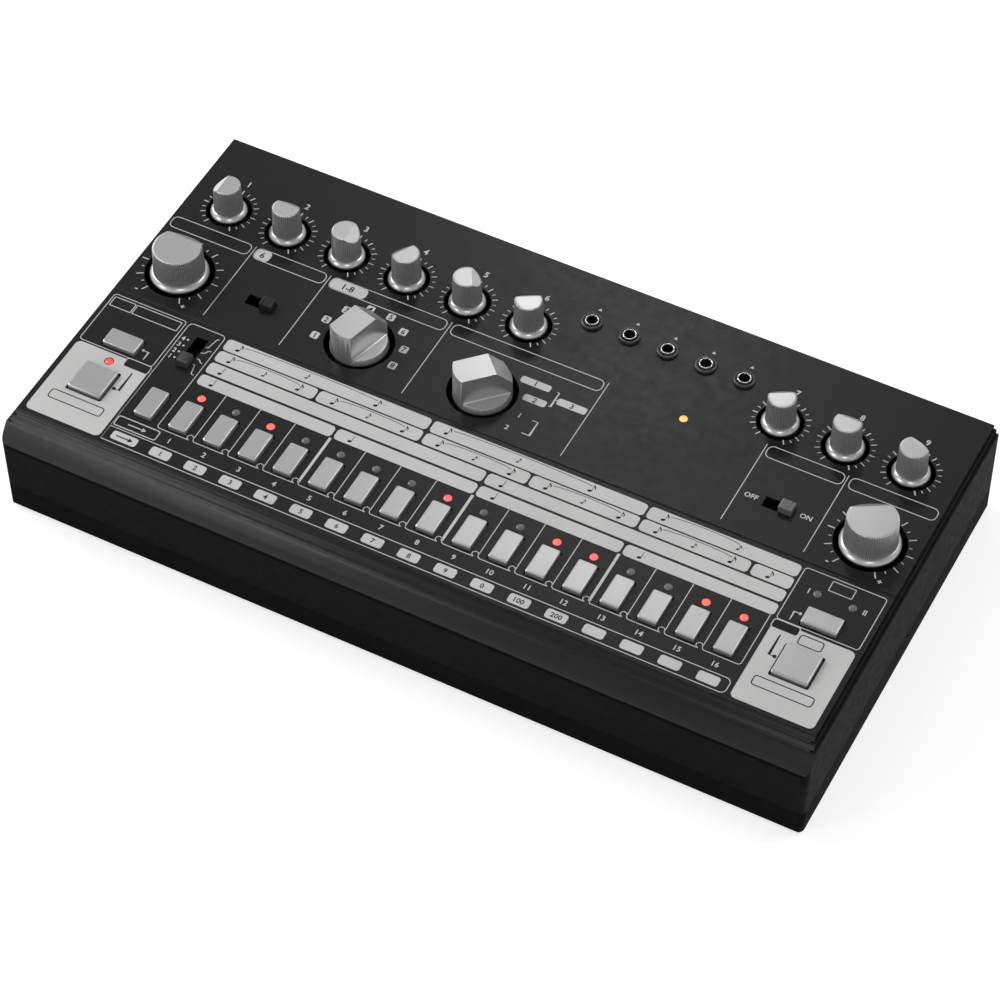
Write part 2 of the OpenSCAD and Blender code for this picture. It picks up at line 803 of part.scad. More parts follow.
module panel_lamps() {
    lamp_top = panel_z + 0.1;
    lamp_h = 6.2;
    color("#ff3020") for (p = lamp_xy) translate(p) {
        translate([0, 0, lamp_top - lamp_h]) cylinder(h = lamp_h, r = lamp_r);
        translate([0, 0, lamp_top - lamp_h]) cylinder(h = 1, r = lamp_r + 0.4);
        for (s = [-1, 1]) translate([s * 0.9 - 0.25, -0.25, board_z])
            cube([0.5, 0.5, lamp_top - lamp_h - board_z + tiny]);
    }
}

// ---- Sockets ----

module panel_jacks() {
    body_top = under_z - 0.2;
    jack_top = panel_z + mini_nut_t + 0.3;
    color("#3a3a3c") for (x = mini_x) translate([x, mini_y]) difference() {
        union() {
            translate([-mini_body / 2, -mini_body / 2, board_z])
                cube([mini_body, mini_body, body_top - board_z]);
            translate([0, 0, body_top - tiny]) cylinder(h = jack_top - body_top, r = mini_thread_r);
        }
        translate([0, 0, board_z + 1]) cylinder(h = case_h, r = mini_bore_r);
    }
}

module mini_nut() {
    difference() {
        cylinder(h = mini_nut_t, r = mini_nut_r);
        translate([0, 0, -1]) cylinder(h = mini_nut_t + 2, r = mini_thread_r + screw_clear);
    }
}

module jack_nuts() {
    color("#8a8a8d") {
        for (x = mini_x) translate([x, mini_y, panel_z]) mini_nut();
        for (x = voice_x) translate([x, plate_out_y, voice_z]) rotate([-90, 0, 0]) mini_nut();
        translate([mix_x, plate_out_y, mix_z]) rotate([-90, 0, 0]) difference() {
            cylinder(h = mix_nut_t, r = mix_hex_r, $fn = 6);
            translate([0, 0, -1]) cylinder(h = mix_nut_t + 2, r = mix_thread_r + screw_clear);
        }
    }
}

module voice_jacks() {
    body_d = 10;
    reach = plate_t + mini_nut_t + 0.6;
    color("#3a3a3c") for (x = voice_x) translate([x, plate_in_y, voice_z]) difference() {
        union() {
            translate([-mini_body / 2, -body_d, main_z - voice_z]) cube([mini_body, body_d, mini_body]);
            rotate([-90, 0, 0]) translate([0, 0, -tiny]) cylinder(h = reach, r = mini_thread_r);
        }
        translate([0, 1 - body_d, 0]) rotate([-90, 0, 0]) cylinder(h = body_d * 2, r = mini_bore_r);
    }
}

module mix_jack() {
    body_d = 24;
    color("#3a3a3c") translate([mix_x, plate_in_y, mix_z]) difference() {
        union() {
            translate([-mix_body_w / 2, -body_d, main_z - mix_z])
                cube([mix_body_w, body_d, mix_body_w]);
            rotate([-90, 0, 0]) translate([0, 0, -tiny])
                cylinder(h = tip_y - plate_in_y + tiny, r = mix_thread_r);
        }
        translate([0, 2 - body_d, 0]) rotate([-90, 0, 0]) cylinder(h = body_d * 2, r = mix_bore_r);
    }
}

module midi_sockets() {
    body_d = 12;
    body_w = 20;
    well_d = 7;
    pin_circle_r = 3.5;
    beyond = plate_t + 1;
    color("#1c1c1e") for (x = midi_x) translate([x, plate_in_y, midi_z]) difference() {
        union() {
            translate([-body_w / 2, -body_d, main_z - midi_z]) cube([body_w, body_d, body_w - 1]);
            rotate([-90, 0, 0]) translate([0, 0, -tiny]) cylinder(h = plate_t, r = midi_r);
        }
        rotate([-90, 0, 0]) difference() {
            translate([0, 0, -well_d]) cylinder(h = well_d + beyond, r = midi_r - 0.9);
            translate([0, 0, -well_d - 1]) cylinder(h = well_d + plate_t + 0.4, r = midi_r - 1.8);
        }
        for (a = [0 : 45 : 180])
            translate([pin_circle_r * cos(a), 1 - well_d, pin_circle_r * sin(a)])
                rotate([-90, 0, 0]) cylinder(h = well_d + beyond, r = 0.8);
    }
}

module usb_socket() {
    body_d = 16;
    color("#b9bbbe") translate([usb_x, plate_in_y, main_z]) difference() {
        translate([-usb_half_w, -body_d, 0]) cube([2 * usb_half_w, body_d + plate_t, usb_h]);
        difference() {
            translate([-4.2, -9, 1.6]) cube([8.4, 20, 7.8]);
            translate([-2.8, -10, 3.9]) cube([5.6, 9 + plate_t, 3.2]);
        }
    }
}

module power_inlet() {
    body_d = 13;
    color("#1c1c1e") translate([inlet_x, plate_in_y, 0]) difference() {
        translate([-inlet_half_w, -body_d, main_z]) cube([2 * inlet_half_w, body_d, inlet_h]);
        translate([0, 0, inlet_z]) rotate([-90, 0, 0]) difference() {
            translate([0, 0, -9]) cylinder(h = 20, r = inlet_bore_r);
            translate([0, 0, -10]) cylinder(h = 9.5, r = 1.05);
        }
    }
}

module power_switch_body() {
    color("#2c2f33") translate([power_x, plate_in_y, 0]) difference() {
        translate([-power_half, -14, main_z]) cube([2 * power_half, 14 - plate_gap, power_body_h]);
        translate([-cap_half - cap_clear, -14 + cap_travel, cap_z - cap_half - cap_clear])
            cube([2 * (cap_half + cap_clear), 20, 2 * (cap_half + cap_clear)]);
    }
}

module power_switch_cap() {
    cap_len = 14;
    color("#101010") translate([power_x - cap_half, plate_out_y + 3 - cap_len, cap_z - cap_half])
        cube([2 * cap_half, cap_len, 2 * cap_half]);
}

// ---- Knobs and selectors ----

// A knob with its shaft, pointing to the back
module knob(skirt_r, body_r, top_r, h, pointer) {
    low = panel_z - knob_sink;
    top = panel_z + h;
    shaft_low = board_z + shaft_seat;
    difference() {
        rotate_extrude() polygon([
            [0, shaft_low],
            [shaft_r, shaft_low],
            [shaft_r, low],
            [skirt_r, low],
            [skirt_r, low + skirt_h * 0.4],
            [body_r + 0.3, low + skirt_h],
            [body_r, low + skirt_h],
            [top_r, top - crown_drop],
            [top_r - crown_run, top],
            [0, top]
        ]);
        translate([0, pointer, top]) rotate([-pointer_slope, 0, 0])
            translate([-skirt_r, 0, 0]) cube([2 * skirt_r, 2 * skirt_r, 2 * skirt_r]);
    }
}

// A knob in place, turned clockwise by an angle
module knob_at(x, y, angle, big) {
    color("#4a4b4d") translate([x, y]) rotate(-angle)
        if (big) knob(big_skirt_r, big_body_r, big_top_r, big_h, big_pointer);
        else knob(knob_skirt_r, knob_body_r, knob_top_r, knob_h, knob_pointer);
}

// What is cut away beside the grip, on its right
module grip_side() {
    ledge = panel_z + grip_ledge_h;
    foot = panel_z - selector_sink;
    middle = ledge + grip_scoop_r - grip_scoop_dip;
    reach = selector_r + 3;
    rim_edge = 0.3;
    along_y(-reach, reach) {
        translate([grip_half_w, middle]) square([reach, selector_h]);
        translate([grip_half_w + grip_scoop_r, ledge]) square([reach, selector_h]);
        translate([grip_half_w + grip_scoop_r, middle]) circle(grip_scoop_r);
    }
    intersection() {
        translate([grip_half_w, -reach, foot]) cube([reach, 2 * reach, selector_h]);
        rotate_extrude() polygon([
            [selector_r - rim_run, ledge + grip_scoop_r],
            [reach, ledge + grip_scoop_r],
            [reach, foot + rim_edge],
            [selector_r, foot + rim_edge],
            [selector_r - rim_run, ledge]
        ]);
    }
}

module selector(x, angle) {
    low = panel_z - selector_sink;
    top = panel_z + selector_h;
    shaft_low = board_z + shaft_seat;
    color("#4a4b4d") translate([x, control_row_y]) rotate(-angle) difference() {
        rotate_extrude() polygon([
            [0, shaft_low],
            [shaft_r, shaft_low],
            [shaft_r, low],
            [selector_r, low],
            [selector_top_r, top],
            [0, top]
        ]);
        grip_side();
        mirror([1, 0, 0]) grip_side();
        translate([0, nose_edge, top]) rotate([-nose_slope, 0, 0])
            translate([-selector_r, 0, 0]) cube([2 * selector_r, 3 * selector_r, 2 * selector_r]);
    }
}

// ---- Slide switches ----

// A slide switch handle, its travel along X
module handle() {
    foot_z = board_z + switch_body_h + 0.3;
    width = slot_w - 2 * handle_clear;
    top = panel_z + handle_h;
    groove = 0.4;
    groove_count = 4;
    pitch = handle_len / (groove_count + 1);
    difference() {
        translate([-handle_len / 2, -width / 2, foot_z]) cube([handle_len, width, top - foot_z]);
        for (i = [1 : groove_count]) translate([i * pitch - handle_len / 2, 0, top])
            rotate([0, 45, 0]) cube([groove, 2 * width, groove], center = true);
    }
    blade_low = board_z + blade_floor + blade_clear;
    translate([-blade_len / 2, -blade_w / 2, blade_low])
        cube([blade_len, blade_w, foot_z - blade_low + tiny]);
}

module slide_select() {
    color("#2b2b2d") translate([-slide_place + slide_rest, control_row_y]) handle();
}

module slide_distortion() {
    color("#2b2b2d") translate([slide_place + slide_rest, control_row_y]) handle();
}

module slide_scale() {
    color("#2b2b2d") translate([scale_x, -scale_y - scale_rest]) rotate(90) handle();
}

// ---- Buttons ----

module button(x, y, w, d) {
    low = under_z - shell / 6 - flange_t;
    top = panel_z + key_h;
    color("#3f4042") translate([x, y]) {
        intersection() {
            along_x(w + 1) polygon([
                [-d / 2, low], [-d / 2, top - key_chamfer], [-d / 2 + key_chamfer, top],
                [d / 2 - key_chamfer, top], [d / 2, top - key_chamfer], [d / 2, low]
            ]);
            along_y(-d / 2 - 1, d / 2 + 1) polygon([
                [-w / 2, low], [-w / 2, top - key_chamfer], [-w / 2 + key_chamfer, top],
                [w / 2 - key_chamfer, top], [w / 2, top - key_chamfer], [w / 2, low]
            ]);
        }
        translate([-w / 2 - flange_w, -d / 2 - flange_w, low])
            cube([w + 2 * flange_w, d + 2 * flange_w, flange_t]);
        translate([0, 0, board_z + stem_end]) cylinder(h = low - board_z - stem_end + tiny, r = stem_r);
    }
}

module step_button(n) {
    button(key_x[n - 1], key_y, key_w, key_d);
}

// ---- The part ----

top_case();
bottom_case();
rear_panel();
rubber_feet();
screws();
panel_board();
button_board();
main_board();
board_connectors();
potentiometers();
rotary_switches();
slide_switch_bodies();
tact_switches();
panel_lamps();
panel_jacks();
jack_nuts();
voice_jacks();
mix_jack();
midi_sockets();
usb_socket();
power_inlet();
power_switch_body();
power_switch_cap();
knob_at(small_x[0], small_y, angle_accent, false);  // knob_accent
knob_at(small_x[1], small_y, angle_bass_drum, false);  // knob_bass_drum
knob_at(small_x[2], small_y, angle_snare_drum, false);  // knob_snare_drum
knob_at(small_x[3], small_y, angle_tom, false);  // knob_tom
knob_at(small_x[4], small_y, angle_cymbal_clap, false);  // knob_cymbal_clap
knob_at(small_x[5], small_y, angle_hi_hat, false);  // knob_hi_hat
knob_at(small_x[8], small_y, angle_distortion, false);  // knob_distortion
knob_at(small_x[7], small_y, angle_tone, false);  // knob_tone
knob_at(small_x[6], small_y, angle_level, false);  // knob_level
knob_at(-big_place, control_row_y, angle_tempo, true);  // knob_tempo
knob_at(big_place, control_row_y, angle_volume, true);  // knob_volume
selector(-instrument_x, angle_instrument);  // selector_instrument
selector(-mode_x, angle_mode);  // selector_mode
slide_select();
slide_distortion();
slide_scale();
button(-wide_place, short_y, wide_w, short_d);  // button_clear
button(-wide_place, key_y, wide_w, key_d);  // button_start_stop
button(function_x, key_y, key_w, key_d);  // button_function
button(wide_place, short_y, wide_w, short_d);  // button_pattern_group
button(wide_place, key_y, wide_w, key_d);  // button_write_next
step_button(1);  // step_button_01
step_button(2);  // step_button_02
step_button(3);  // step_button_03
step_button(4);  // step_button_04
step_button(5);  // step_button_05
step_button(6);  // step_button_06
step_button(7);  // step_button_07
step_button(8);  // step_button_08
step_button(9);  // step_button_09
step_button(10);  // step_button_10
step_button(11);  // step_button_11
step_button(12);  // step_button_12
step_button(13);  // step_button_13
step_button(14);  // step_button_14
step_button(15);  // step_button_15
step_button(16);  // step_button_16
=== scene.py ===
"""Looks of the drum machine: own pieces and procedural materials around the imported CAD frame."""

import math

import bmesh
import bpy
from mathutils import Matrix, Vector


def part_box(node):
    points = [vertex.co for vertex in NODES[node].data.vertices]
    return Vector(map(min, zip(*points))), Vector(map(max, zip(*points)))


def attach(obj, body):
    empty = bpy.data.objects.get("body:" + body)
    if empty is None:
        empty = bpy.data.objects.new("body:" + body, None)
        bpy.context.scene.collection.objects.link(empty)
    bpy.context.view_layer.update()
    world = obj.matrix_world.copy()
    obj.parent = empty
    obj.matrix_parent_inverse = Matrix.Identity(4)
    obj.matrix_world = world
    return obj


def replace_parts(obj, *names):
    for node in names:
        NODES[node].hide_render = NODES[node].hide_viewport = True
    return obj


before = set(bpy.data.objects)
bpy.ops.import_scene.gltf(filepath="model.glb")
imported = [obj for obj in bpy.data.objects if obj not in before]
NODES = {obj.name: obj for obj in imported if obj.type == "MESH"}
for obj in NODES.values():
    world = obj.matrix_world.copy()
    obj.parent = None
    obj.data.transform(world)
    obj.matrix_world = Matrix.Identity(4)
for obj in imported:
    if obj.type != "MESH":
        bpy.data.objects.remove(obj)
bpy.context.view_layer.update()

MM = 0.001
STATIC = "case"

# Heights and places in mm, as in the part's source
PANEL = 43.0
BOARD = 30.0
UNDER = 40.8
SMALL_X = [-133.5, -109.2, -84.9, -60.6, -36.3, -12.0, 84.9, 109.2, 133.5]
SMALL_Y = 42.0
BIG_X = 133.6
ROW_Y = 7.7
INSTRUMENT_X = -60.7
KEY_PITCH = 13.73
KEY_X = [-96.11 + KEY_PITCH * i for i in range(16)]
WIDE_X = 133.45
KEY_Y = -50.45
LAMP_Y = -40.07
JACK_X = [7.1 + 14.71 * i for i in range(5)]
JACK_Y = 53.4
BACK_PLATE_Y = 75.4
VOICE_X = [-93.5 + 14 * i for i in range(7)]
VOICE_Z = 17.0
MIX_X = -117.5
MIX_Z = 21.0


def centre(node):
    """Middle of a CAD node's box, in mm."""
    low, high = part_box(node)
    return (low + high) / 2 / MM


# ---- Materials ----


def new_material(name):
    material = bpy.data.materials.new(name)
    material.use_nodes = True
    tree = material.node_tree
    return material, tree, tree.nodes["Principled BSDF"]


def add(tree, kind, **values):
    """A shader node with its properties set; values for sockets come as name=value pairs in `inputs`."""
    inputs = values.pop("inputs", {})
    node = tree.nodes.new(kind)
    for key, value in values.items():
        setattr(node, key, value)
    for key, value in inputs.items():
        node.inputs[key].default_value = value
    return node


def noise(tree, scale, detail=4.0, rough=0.55, stretch=None):
    where = add(tree, "ShaderNodeTexCoord")
    spot = where.outputs["Object"]
    if stretch:
        move = add(tree, "ShaderNodeMapping")
        move.inputs["Scale"].default_value = stretch
        tree.links.new(spot, move.inputs["Vector"])
        spot = move.outputs["Vector"]
    node = add(tree, "ShaderNodeTexNoise", inputs={"Scale": scale, "Detail": detail, "Roughness": rough})
    tree.links.new(spot, node.inputs["Vector"])
    return node.outputs["Fac"]


def ramp(tree, fac, low, high, start=0.3, end=0.7):
    node = add(tree, "ShaderNodeValToRGB")
    node.color_ramp.elements[0].position = start
    node.color_ramp.elements[0].color = (*low, 1)
    node.color_ramp.elements[1].position = end
    node.color_ramp.elements[1].color = (*high, 1)
    tree.links.new(fac, node.inputs["Fac"])
    return node.outputs["Color"]


def spread(tree, fac, low, high, start=0.3, end=0.7):
    node = add(
        tree,
        "ShaderNodeMapRange",
        inputs={"From Min": start, "From Max": end, "To Min": low, "To Max": high},
    )
    tree.links.new(fac, node.inputs["Value"])
    return node.outputs["Result"]


def bump(tree, shader, height, distance, strength=1.0):
    node = add(tree, "ShaderNodeBump", inputs={"Strength": strength, "Distance": distance})
    tree.links.new(height, node.inputs["Height"])
    tree.links.new(node.outputs["Normal"], shader.inputs["Normal"])


def plastic(
    name, dark, light, rough=(0.4, 0.5), specular=0.5, metallic=0.0, grain=1400, depth=0.00001, patch=18,
):
    """Moulded plastic: slow colour patches, a fine grain in the gloss and a fine skin."""
    material, tree, shader = new_material(name)
    tree.links.new(ramp(tree, noise(tree, patch, 2), dark, light), shader.inputs["Base Color"])
    gloss = spread(tree, noise(tree, grain * 0.12, 3), *rough)
    tree.links.new(gloss, shader.inputs["Roughness"])
    bump(tree, shader, noise(tree, grain, 2), depth, 0.15)
    shader.inputs["Specular IOR Level"].default_value = specular
    shader.inputs["Metallic"].default_value = metallic
    return material


def metal(name, dark, light, rough=(0.2, 0.35), stretch=None, grain=900, depth=0.000006):
    material, tree, shader = new_material(name)
    tree.links.new(ramp(tree, noise(tree, 60, 4, 0.6, stretch), dark, light), shader.inputs["Base Color"])
    gloss = spread(tree, noise(tree, grain * 0.5, 4, 0.6, stretch), *rough)
    tree.links.new(gloss, shader.inputs["Roughness"])
    bump(tree, shader, noise(tree, grain, 3, 0.6, stretch), depth, 0.3)
    shader.inputs["Metallic"].default_value = 1.0
    return material


def lamp(name, core, edge, strength):
    """A lamp's lens: bright in the middle and darker at its rim, where the lens turns down; that darker rim
    is painted shade, set by the angle of view.
    """
    material, tree, shader = new_material(name)
    # Painted shade: the lens colour and its glow run from the core colour to the darker rim colour as the
    # surface turns from the view.
    facing = add(tree, "ShaderNodeLayerWeight", inputs={"Blend": 0.35})
    rim_shade_tint = ramp(tree, facing.outputs["Facing"], core, edge, 0.05, 0.75)
    mottle = ramp(tree, noise(tree, 900, 2), (0.9, 0.9, 0.9), (1, 1, 1))
    mix = add(tree, "ShaderNodeMix", data_type="RGBA", blend_type="MULTIPLY")
    mix.inputs["Factor"].default_value = 1.0
    tree.links.new(rim_shade_tint, mix.inputs["A"])
    tree.links.new(mottle, mix.inputs["B"])
    tree.links.new(mix.outputs["Result"], shader.inputs["Base Color"])
    tree.links.new(mix.outputs["Result"], shader.inputs["Emission Color"])
    shader.inputs["Emission Strength"].default_value = strength
    shader.inputs["Roughness"].default_value = 0.25
    return material


def board_material(name, field, other, track):
    material, tree, shader = new_material(name)
    where = add(tree, "ShaderNodeTexCoord")
    tracks = add(
        tree,
        "ShaderNodeTexBrick",
        inputs={
            "Color1": (*field, 1),
            "Color2": (*other, 1),
            "Mortar": (*track, 1),
            "Scale": 220.0,
            "Mortar Size": 0.06,
        },
    )
    tree.links.new(where.outputs["Object"], tracks.inputs["Vector"])
    tree.links.new(tracks.outputs["Color"], shader.inputs["Base Color"])
    tree.links.new(spread(tree, noise(tree, 300, 3), 0.5, 0.65), shader.inputs["Roughness"])
    shader.inputs["Specular IOR Level"].default_value = 0.25
    bump(tree, shader, tracks.outputs["Fac"], 0.00003, 0.4)
    return material


# A roughness range that runs across about 0.27 leaves dark specks in a denoised render
CASE = plastic("case_black", (0.0042, 0.0042, 0.0045), (0.0062, 0.006, 0.0062), (0.3, 0.36), 0.32,
               grain=2600, depth=0.000008, patch=9)
# Painted shade: a darker, less glossy copy of the case plastic for the top shell's walls, which turn from the
# light.
CASE_WALL_PAINTED_SHADE = plastic("case_black_wall_painted_shade", (0.0032, 0.0032, 0.0035), (0.0048, 0.0047, 0.0049), (0.55, 0.65), 0.03,
                    grain=2600, depth=0.000008, patch=9)
# Painted shade: the bottom shell's plastic is darker than the top shell's, like the walls' copy, for faces
# that turn from the light.
BASE_PAINTED_SHADE = plastic("base_black_painted_shade", (0.003, 0.003, 0.0033), (0.0045, 0.0045, 0.0047), (0.6, 0.7), 0.02, grain=2200)
BACK = plastic("back_plate_black", (0.006, 0.006, 0.0065), (0.01, 0.01, 0.01), (0.5, 0.6), 0.25, grain=1800)
KNOB = plastic("knob_grey", (0.525, 0.527, 0.531), (0.54, 0.541, 0.545), (0.28, 0.3), 0.5, 0.72,
               grain=1800, depth=0.000004, patch=70)
SELECTOR = plastic("selector_grey", (0.525, 0.527, 0.531), (0.54, 0.541, 0.545), (0.28, 0.3), 0.5, 0.72,
                   grain=1600, depth=0.000004, patch=60)
BUTTON = plastic("button_grey", (0.49, 0.493, 0.498), (0.505, 0.506, 0.51), (0.28, 0.3), 0.5, 0.68,
                 grain=1700, depth=0.000004, patch=60)
SWITCH_DARK = plastic("switch_black", (0.012, 0.012, 0.012), (0.02, 0.02, 0.02), (0.3, 0.42), 0.5, grain=1600)
SWITCH_GREY = plastic("switch_grey", (0.16, 0.16, 0.165), (0.22, 0.22, 0.22), (0.3, 0.36), 0.5, 0.5,
                      grain=1600, depth=0.000003)
SWITCH_MID = plastic("switch_dark_grey", (0.04, 0.04, 0.041), (0.055, 0.055, 0.055), (0.34, 0.4), 0.5,
                     grain=1600, depth=0.000003)
RUBBER = plastic("rubber", (0.009, 0.009, 0.009), (0.016, 0.016, 0.016), (0.75, 0.9), 0.3, grain=1200,
                 depth=0.00005)
SOCKET = plastic("socket_black", (0.004, 0.004, 0.0045), (0.008, 0.008, 0.0085), (0.3, 0.42), 0.35,
                 grain=1500)
NUT = plastic("nut_grey", (0.05, 0.05, 0.052), (0.075, 0.075, 0.077), (0.3, 0.36), 0.5, 0.5, grain=1500,
              depth=0.000004, patch=90)
CHROME = metal("chrome", (0.62, 0.62, 0.63), (0.78, 0.78, 0.78), (0.1, 0.2))
STEEL = metal("steel", (0.38, 0.38, 0.39), (0.52, 0.52, 0.52), (0.28, 0.42), grain=1300)
CAN = metal("plated_can", (0.46, 0.46, 0.47), (0.6, 0.6, 0.6), (0.28, 0.4), (1, 1, 12))
POT = plastic("potentiometer_black", (0.004, 0.004, 0.0045), (0.009, 0.009, 0.009), (0.5, 0.62), 0.2)
PART = plastic("component_black", (0.006, 0.006, 0.0065), (0.012, 0.012, 0.0125), (0.5, 0.62), 0.25)
PRINT = plastic("print_silver", (0.46, 0.46, 0.455), (0.51, 0.51, 0.505), (0.5, 0.58), 0.15, grain=3000,
                depth=0.000002, patch=40)
INK = plastic("print_dark", (0.006, 0.006, 0.0065), (0.01, 0.01, 0.01), (0.5, 0.6), 0.2, grain=2600,
              depth=0.000002, patch=40)
BOARDS = board_material("circuit_board", (0.008, 0.07, 0.03), (0.006, 0.055, 0.024), (0.018, 0.13, 0.06))
DARK_BOARDS = board_material("circuit_board_black", (0.003, 0.003, 0.0035), (0.0025, 0.0025, 0.003),
                             (0.005, 0.005, 0.0052))
# Lit lamps: a core colour and a darker rim colour, the rim colour being painted shade.
LAMP_ON = lamp("lamp_red_lit", (1.0, 0.13, 0.1), (0.42, 0.0, 0.004), 0.95)
LAMP_START = lamp("lamp_start_lit", (0.85, 0.07, 0.07), (0.4, 0.006, 0.008), 0.75)
LAMP_POWER = lamp("lamp_orange_lit", (1.0, 0.42, 0.13), (0.7, 0.08, 0.006), 1.1)
LAMP_OFF = plastic("lamp_unlit", (0.1, 0.1, 0.1), (0.14, 0.135, 0.135), (0.28, 0.34), 0.5,
                   grain=900, patch=90)


# ---- Mesh helpers, in mm ----


class Shape:
    """Vertices and faces of one piece, gathered from closed forms."""

    def __init__(self):
        self.verts = []
        self.faces = []

    def put(self, verts, faces, matrix=None):
        start = len(self.verts)
        if matrix is not None:
            verts = [tuple(matrix @ Vector(v)) for v in verts]
        self.verts.extend(verts)
        self.faces.extend([[i + start for i in face] for face in faces])

    def loops(self, rings, matrix=None, closed=False):
        """Skin through rings of equal length; the ends are capped unless the skin closes on itself."""
        n = len(rings[0])
        verts = [p for ring in rings for p in ring]
        faces = []
        last = len(rings) if closed else len(rings) - 1
        for k in range(last):
            a, b = k * n, ((k + 1) % len(rings)) * n
            for i in range(n):
                j = (i + 1) % n
                faces.append([a + i, a + j, b + j, b + i])
        if not closed:
            faces.append(list(range(n))[::-1])
            faces.append([(len(rings) - 1) * n + i for i in range(n)])
        self.put(verts, faces, matrix)

    def prism(self, outline, low, high, matrix=None):
        self.loops([[(x, y, low) for x, y in outline], [(x, y, high) for x, y in outline]], matrix)

    def frame(self, outer, inner, low, high):
        """A flat closed ring between two outlines with the same number of points."""
        rings = [
            [(x, y, low) for x, y in outer],
            [(x, y, high) for x, y in outer],
            [(x, y, high) for x, y in inner],
            [(x, y, low) for x, y in inner],
        ]
        self.loops(rings, closed=True)

    def lathe(self, profile, count, matrix=None, ripple=None, closed=False):
        """Turns (radius, height) pairs round Z. ripple(k, angle) changes the radius of row k."""
        rings = []
        for k, (r, z) in enumerate(profile):
            ring = []
            for i in range(count):
                a = 2 * math.pi * i / count
                rr = r + (ripple(k, a) if ripple else 0)
                ring.append((rr * math.cos(a), rr * math.sin(a), z))
            rings.append(ring)
        self.loops(rings, matrix, closed)

    def build(self, name, material, body, sharp=32, slot=None):
        mesh = bpy.data.meshes.new(name)
        mesh.from_pydata([(x * MM, y * MM, z * MM) for x, y, z in self.verts], [], self.faces)
        mesh.validate()
        mesh.update()
        return place(name, mesh, material, body, sharp)


def place(name, mesh, material, body, sharp=32):
    mesh.materials.clear()
    mesh.materials.append(material)
    for face in mesh.polygons:
        face.use_smooth = True
    mesh.set_sharp_from_angle(angle=math.radians(sharp))
    obj = bpy.data.objects.new(name, mesh)
    bpy.context.scene.collection.objects.link(obj)
    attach(obj, body)
    return obj


def at(x, y, z=0.0, turn=0.0):
    """Matrix that turns clockwise by some degrees, seen from above, and then moves."""
    return Matrix.Translation((x, y, z)) @ Matrix.Rotation(math.radians(-turn), 4, "Z")


def arc_point(x, y, r, degrees):
    """Point at a distance and an angle from a middle."""
    a = math.radians(degrees)
    return x + r * math.cos(a), y + r * math.sin(a)


def round_rect(w, d, r, steps=5, x=0.0, y=0.0):
    r = min(r, w / 2 - 1e-4, d / 2 - 1e-4)
    points = []
    for cx, cy, start in ((1, 1, 0), (-1, 1, 90), (-1, -1, 180), (1, -1, 270)):
        for i in range(steps + 1):
            points.append(arc_point(x + cx * (w / 2 - r), y + cy * (d / 2 - r), r, start + 90 * i / steps))
    return points


def span(x0, y0, x1, y1, r, steps=5):
    """Round rectangle between two corners."""
    return round_rect(abs(x1 - x0), abs(y1 - y0), r, steps, (x0 + x1) / 2, (y0 + y1) / 2)


# ---- Knobs ----


def cut_flat(mesh, point, normal):
    """Cuts a closed mesh with a plane and closes it again."""
    bm = bmesh.new()
    bm.from_mesh(mesh)
    everything = bm.verts[:] + bm.edges[:] + bm.faces[:]
    cut = bmesh.ops.bisect_plane(
        bm, geom=everything, dist=1e-7, plane_co=point, plane_no=normal, clear_outer=True
    )
    rim = [e for e in cut["geom_cut"] if isinstance(e, bmesh.types.BMEdge) and e.is_boundary]
    bmesh.ops.contextual_create(bm, geom=rim)
    bm.normal_update()
    bm.to_mesh(mesh)
    bm.free()


SMALL = {"skirt_r": 6.7, "body_r": 5.4, "top_r": 5.0, "height": 13.0, "pointer": 1.75, "ridges": 44}
LARGE = {"skirt_r": 10.6, "body_r": 9.3, "top_r": 8.85, "height": 12.9, "pointer": 5.0, "ridges": 72}
POINTER_SLOPE = 42.0
SKIRT_H = 2.0
SHAFT_R = 3.0


def knob(node, angle, skirt_r, body_r, top_r, height, pointer, ridges):
    """A turned knob with a ridged grip, a conical skirt and a sloped pointer face."""
    x, y, _ = centre(node)
    low = -0.2
    skirt_top = low + SKIRT_H
    shaft_low = BOARD + 1.8 - PANEL
    round_r, round_h = 0.8, 0.35
    profile, depth = [], []

    def row(r, z, d=0.0):
        profile.append((r, z))
        depth.append(d)

    row(0.6, shaft_low)
    row(SHAFT_R - 0.3, shaft_low)
    row(SHAFT_R, shaft_low + 0.3)
    row(SHAFT_R, low - 0.02)
    row(SHAFT_R + 0.3, low)
    row(skirt_r - 0.2, low)
    row(skirt_r - 0.05, low + 0.06)
    row(skirt_r, low + 0.22)
    row(skirt_r - 0.02, low + 0.62)
    row(skirt_r - 0.12, low + 0.82)
    row((skirt_r + body_r) / 2 + 0.18, low + 1.45)
    row(body_r + 0.22, skirt_top)
    row(body_r + 0.12, skirt_top + 0.04)
    grip = 0.55
    row(body_r + 0.1, skirt_top + 0.05, grip)
    row(body_r, skirt_top + 0.4, grip)
    shoulder = height - round_h
    for i in range(1, 6):
        row(body_r + (top_r - body_r) * i / 6, skirt_top + 0.4 + (shoulder - skirt_top - 0.4) * i / 6, grip)
    for i in range(11):
        a = math.radians(9 * i)
        fade = min(1.0, (10 - i) / 6)
        row(top_r - round_r * (1 - math.cos(a)), shoulder + round_h * math.sin(a), grip * fade)
    row(top_r - round_r - 0.12, height)
    row(top_r - round_r - 0.4, height)
    shape = Shape()

    def ripple(k, a):
        wave = abs(math.cos(a * ridges / 2))
        return -depth[k] * (1 - wave)

    shape.lathe(profile, ridges * 8, ripple=ripple)
    mesh = bpy.data.meshes.new(node)
    mesh.from_pydata([tuple(c * MM for c in v) for v in shape.verts], [], shape.faces)
    a = math.radians(POINTER_SLOPE)
    cut_flat(mesh, (0, pointer * MM, height * MM), (0, math.sin(a), math.cos(a)))
    mesh.transform(at(x * MM, y * MM, PANEL * MM, angle))
    obj = place(node + "_turned", mesh, KNOB, node, 28)
    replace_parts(obj, node)


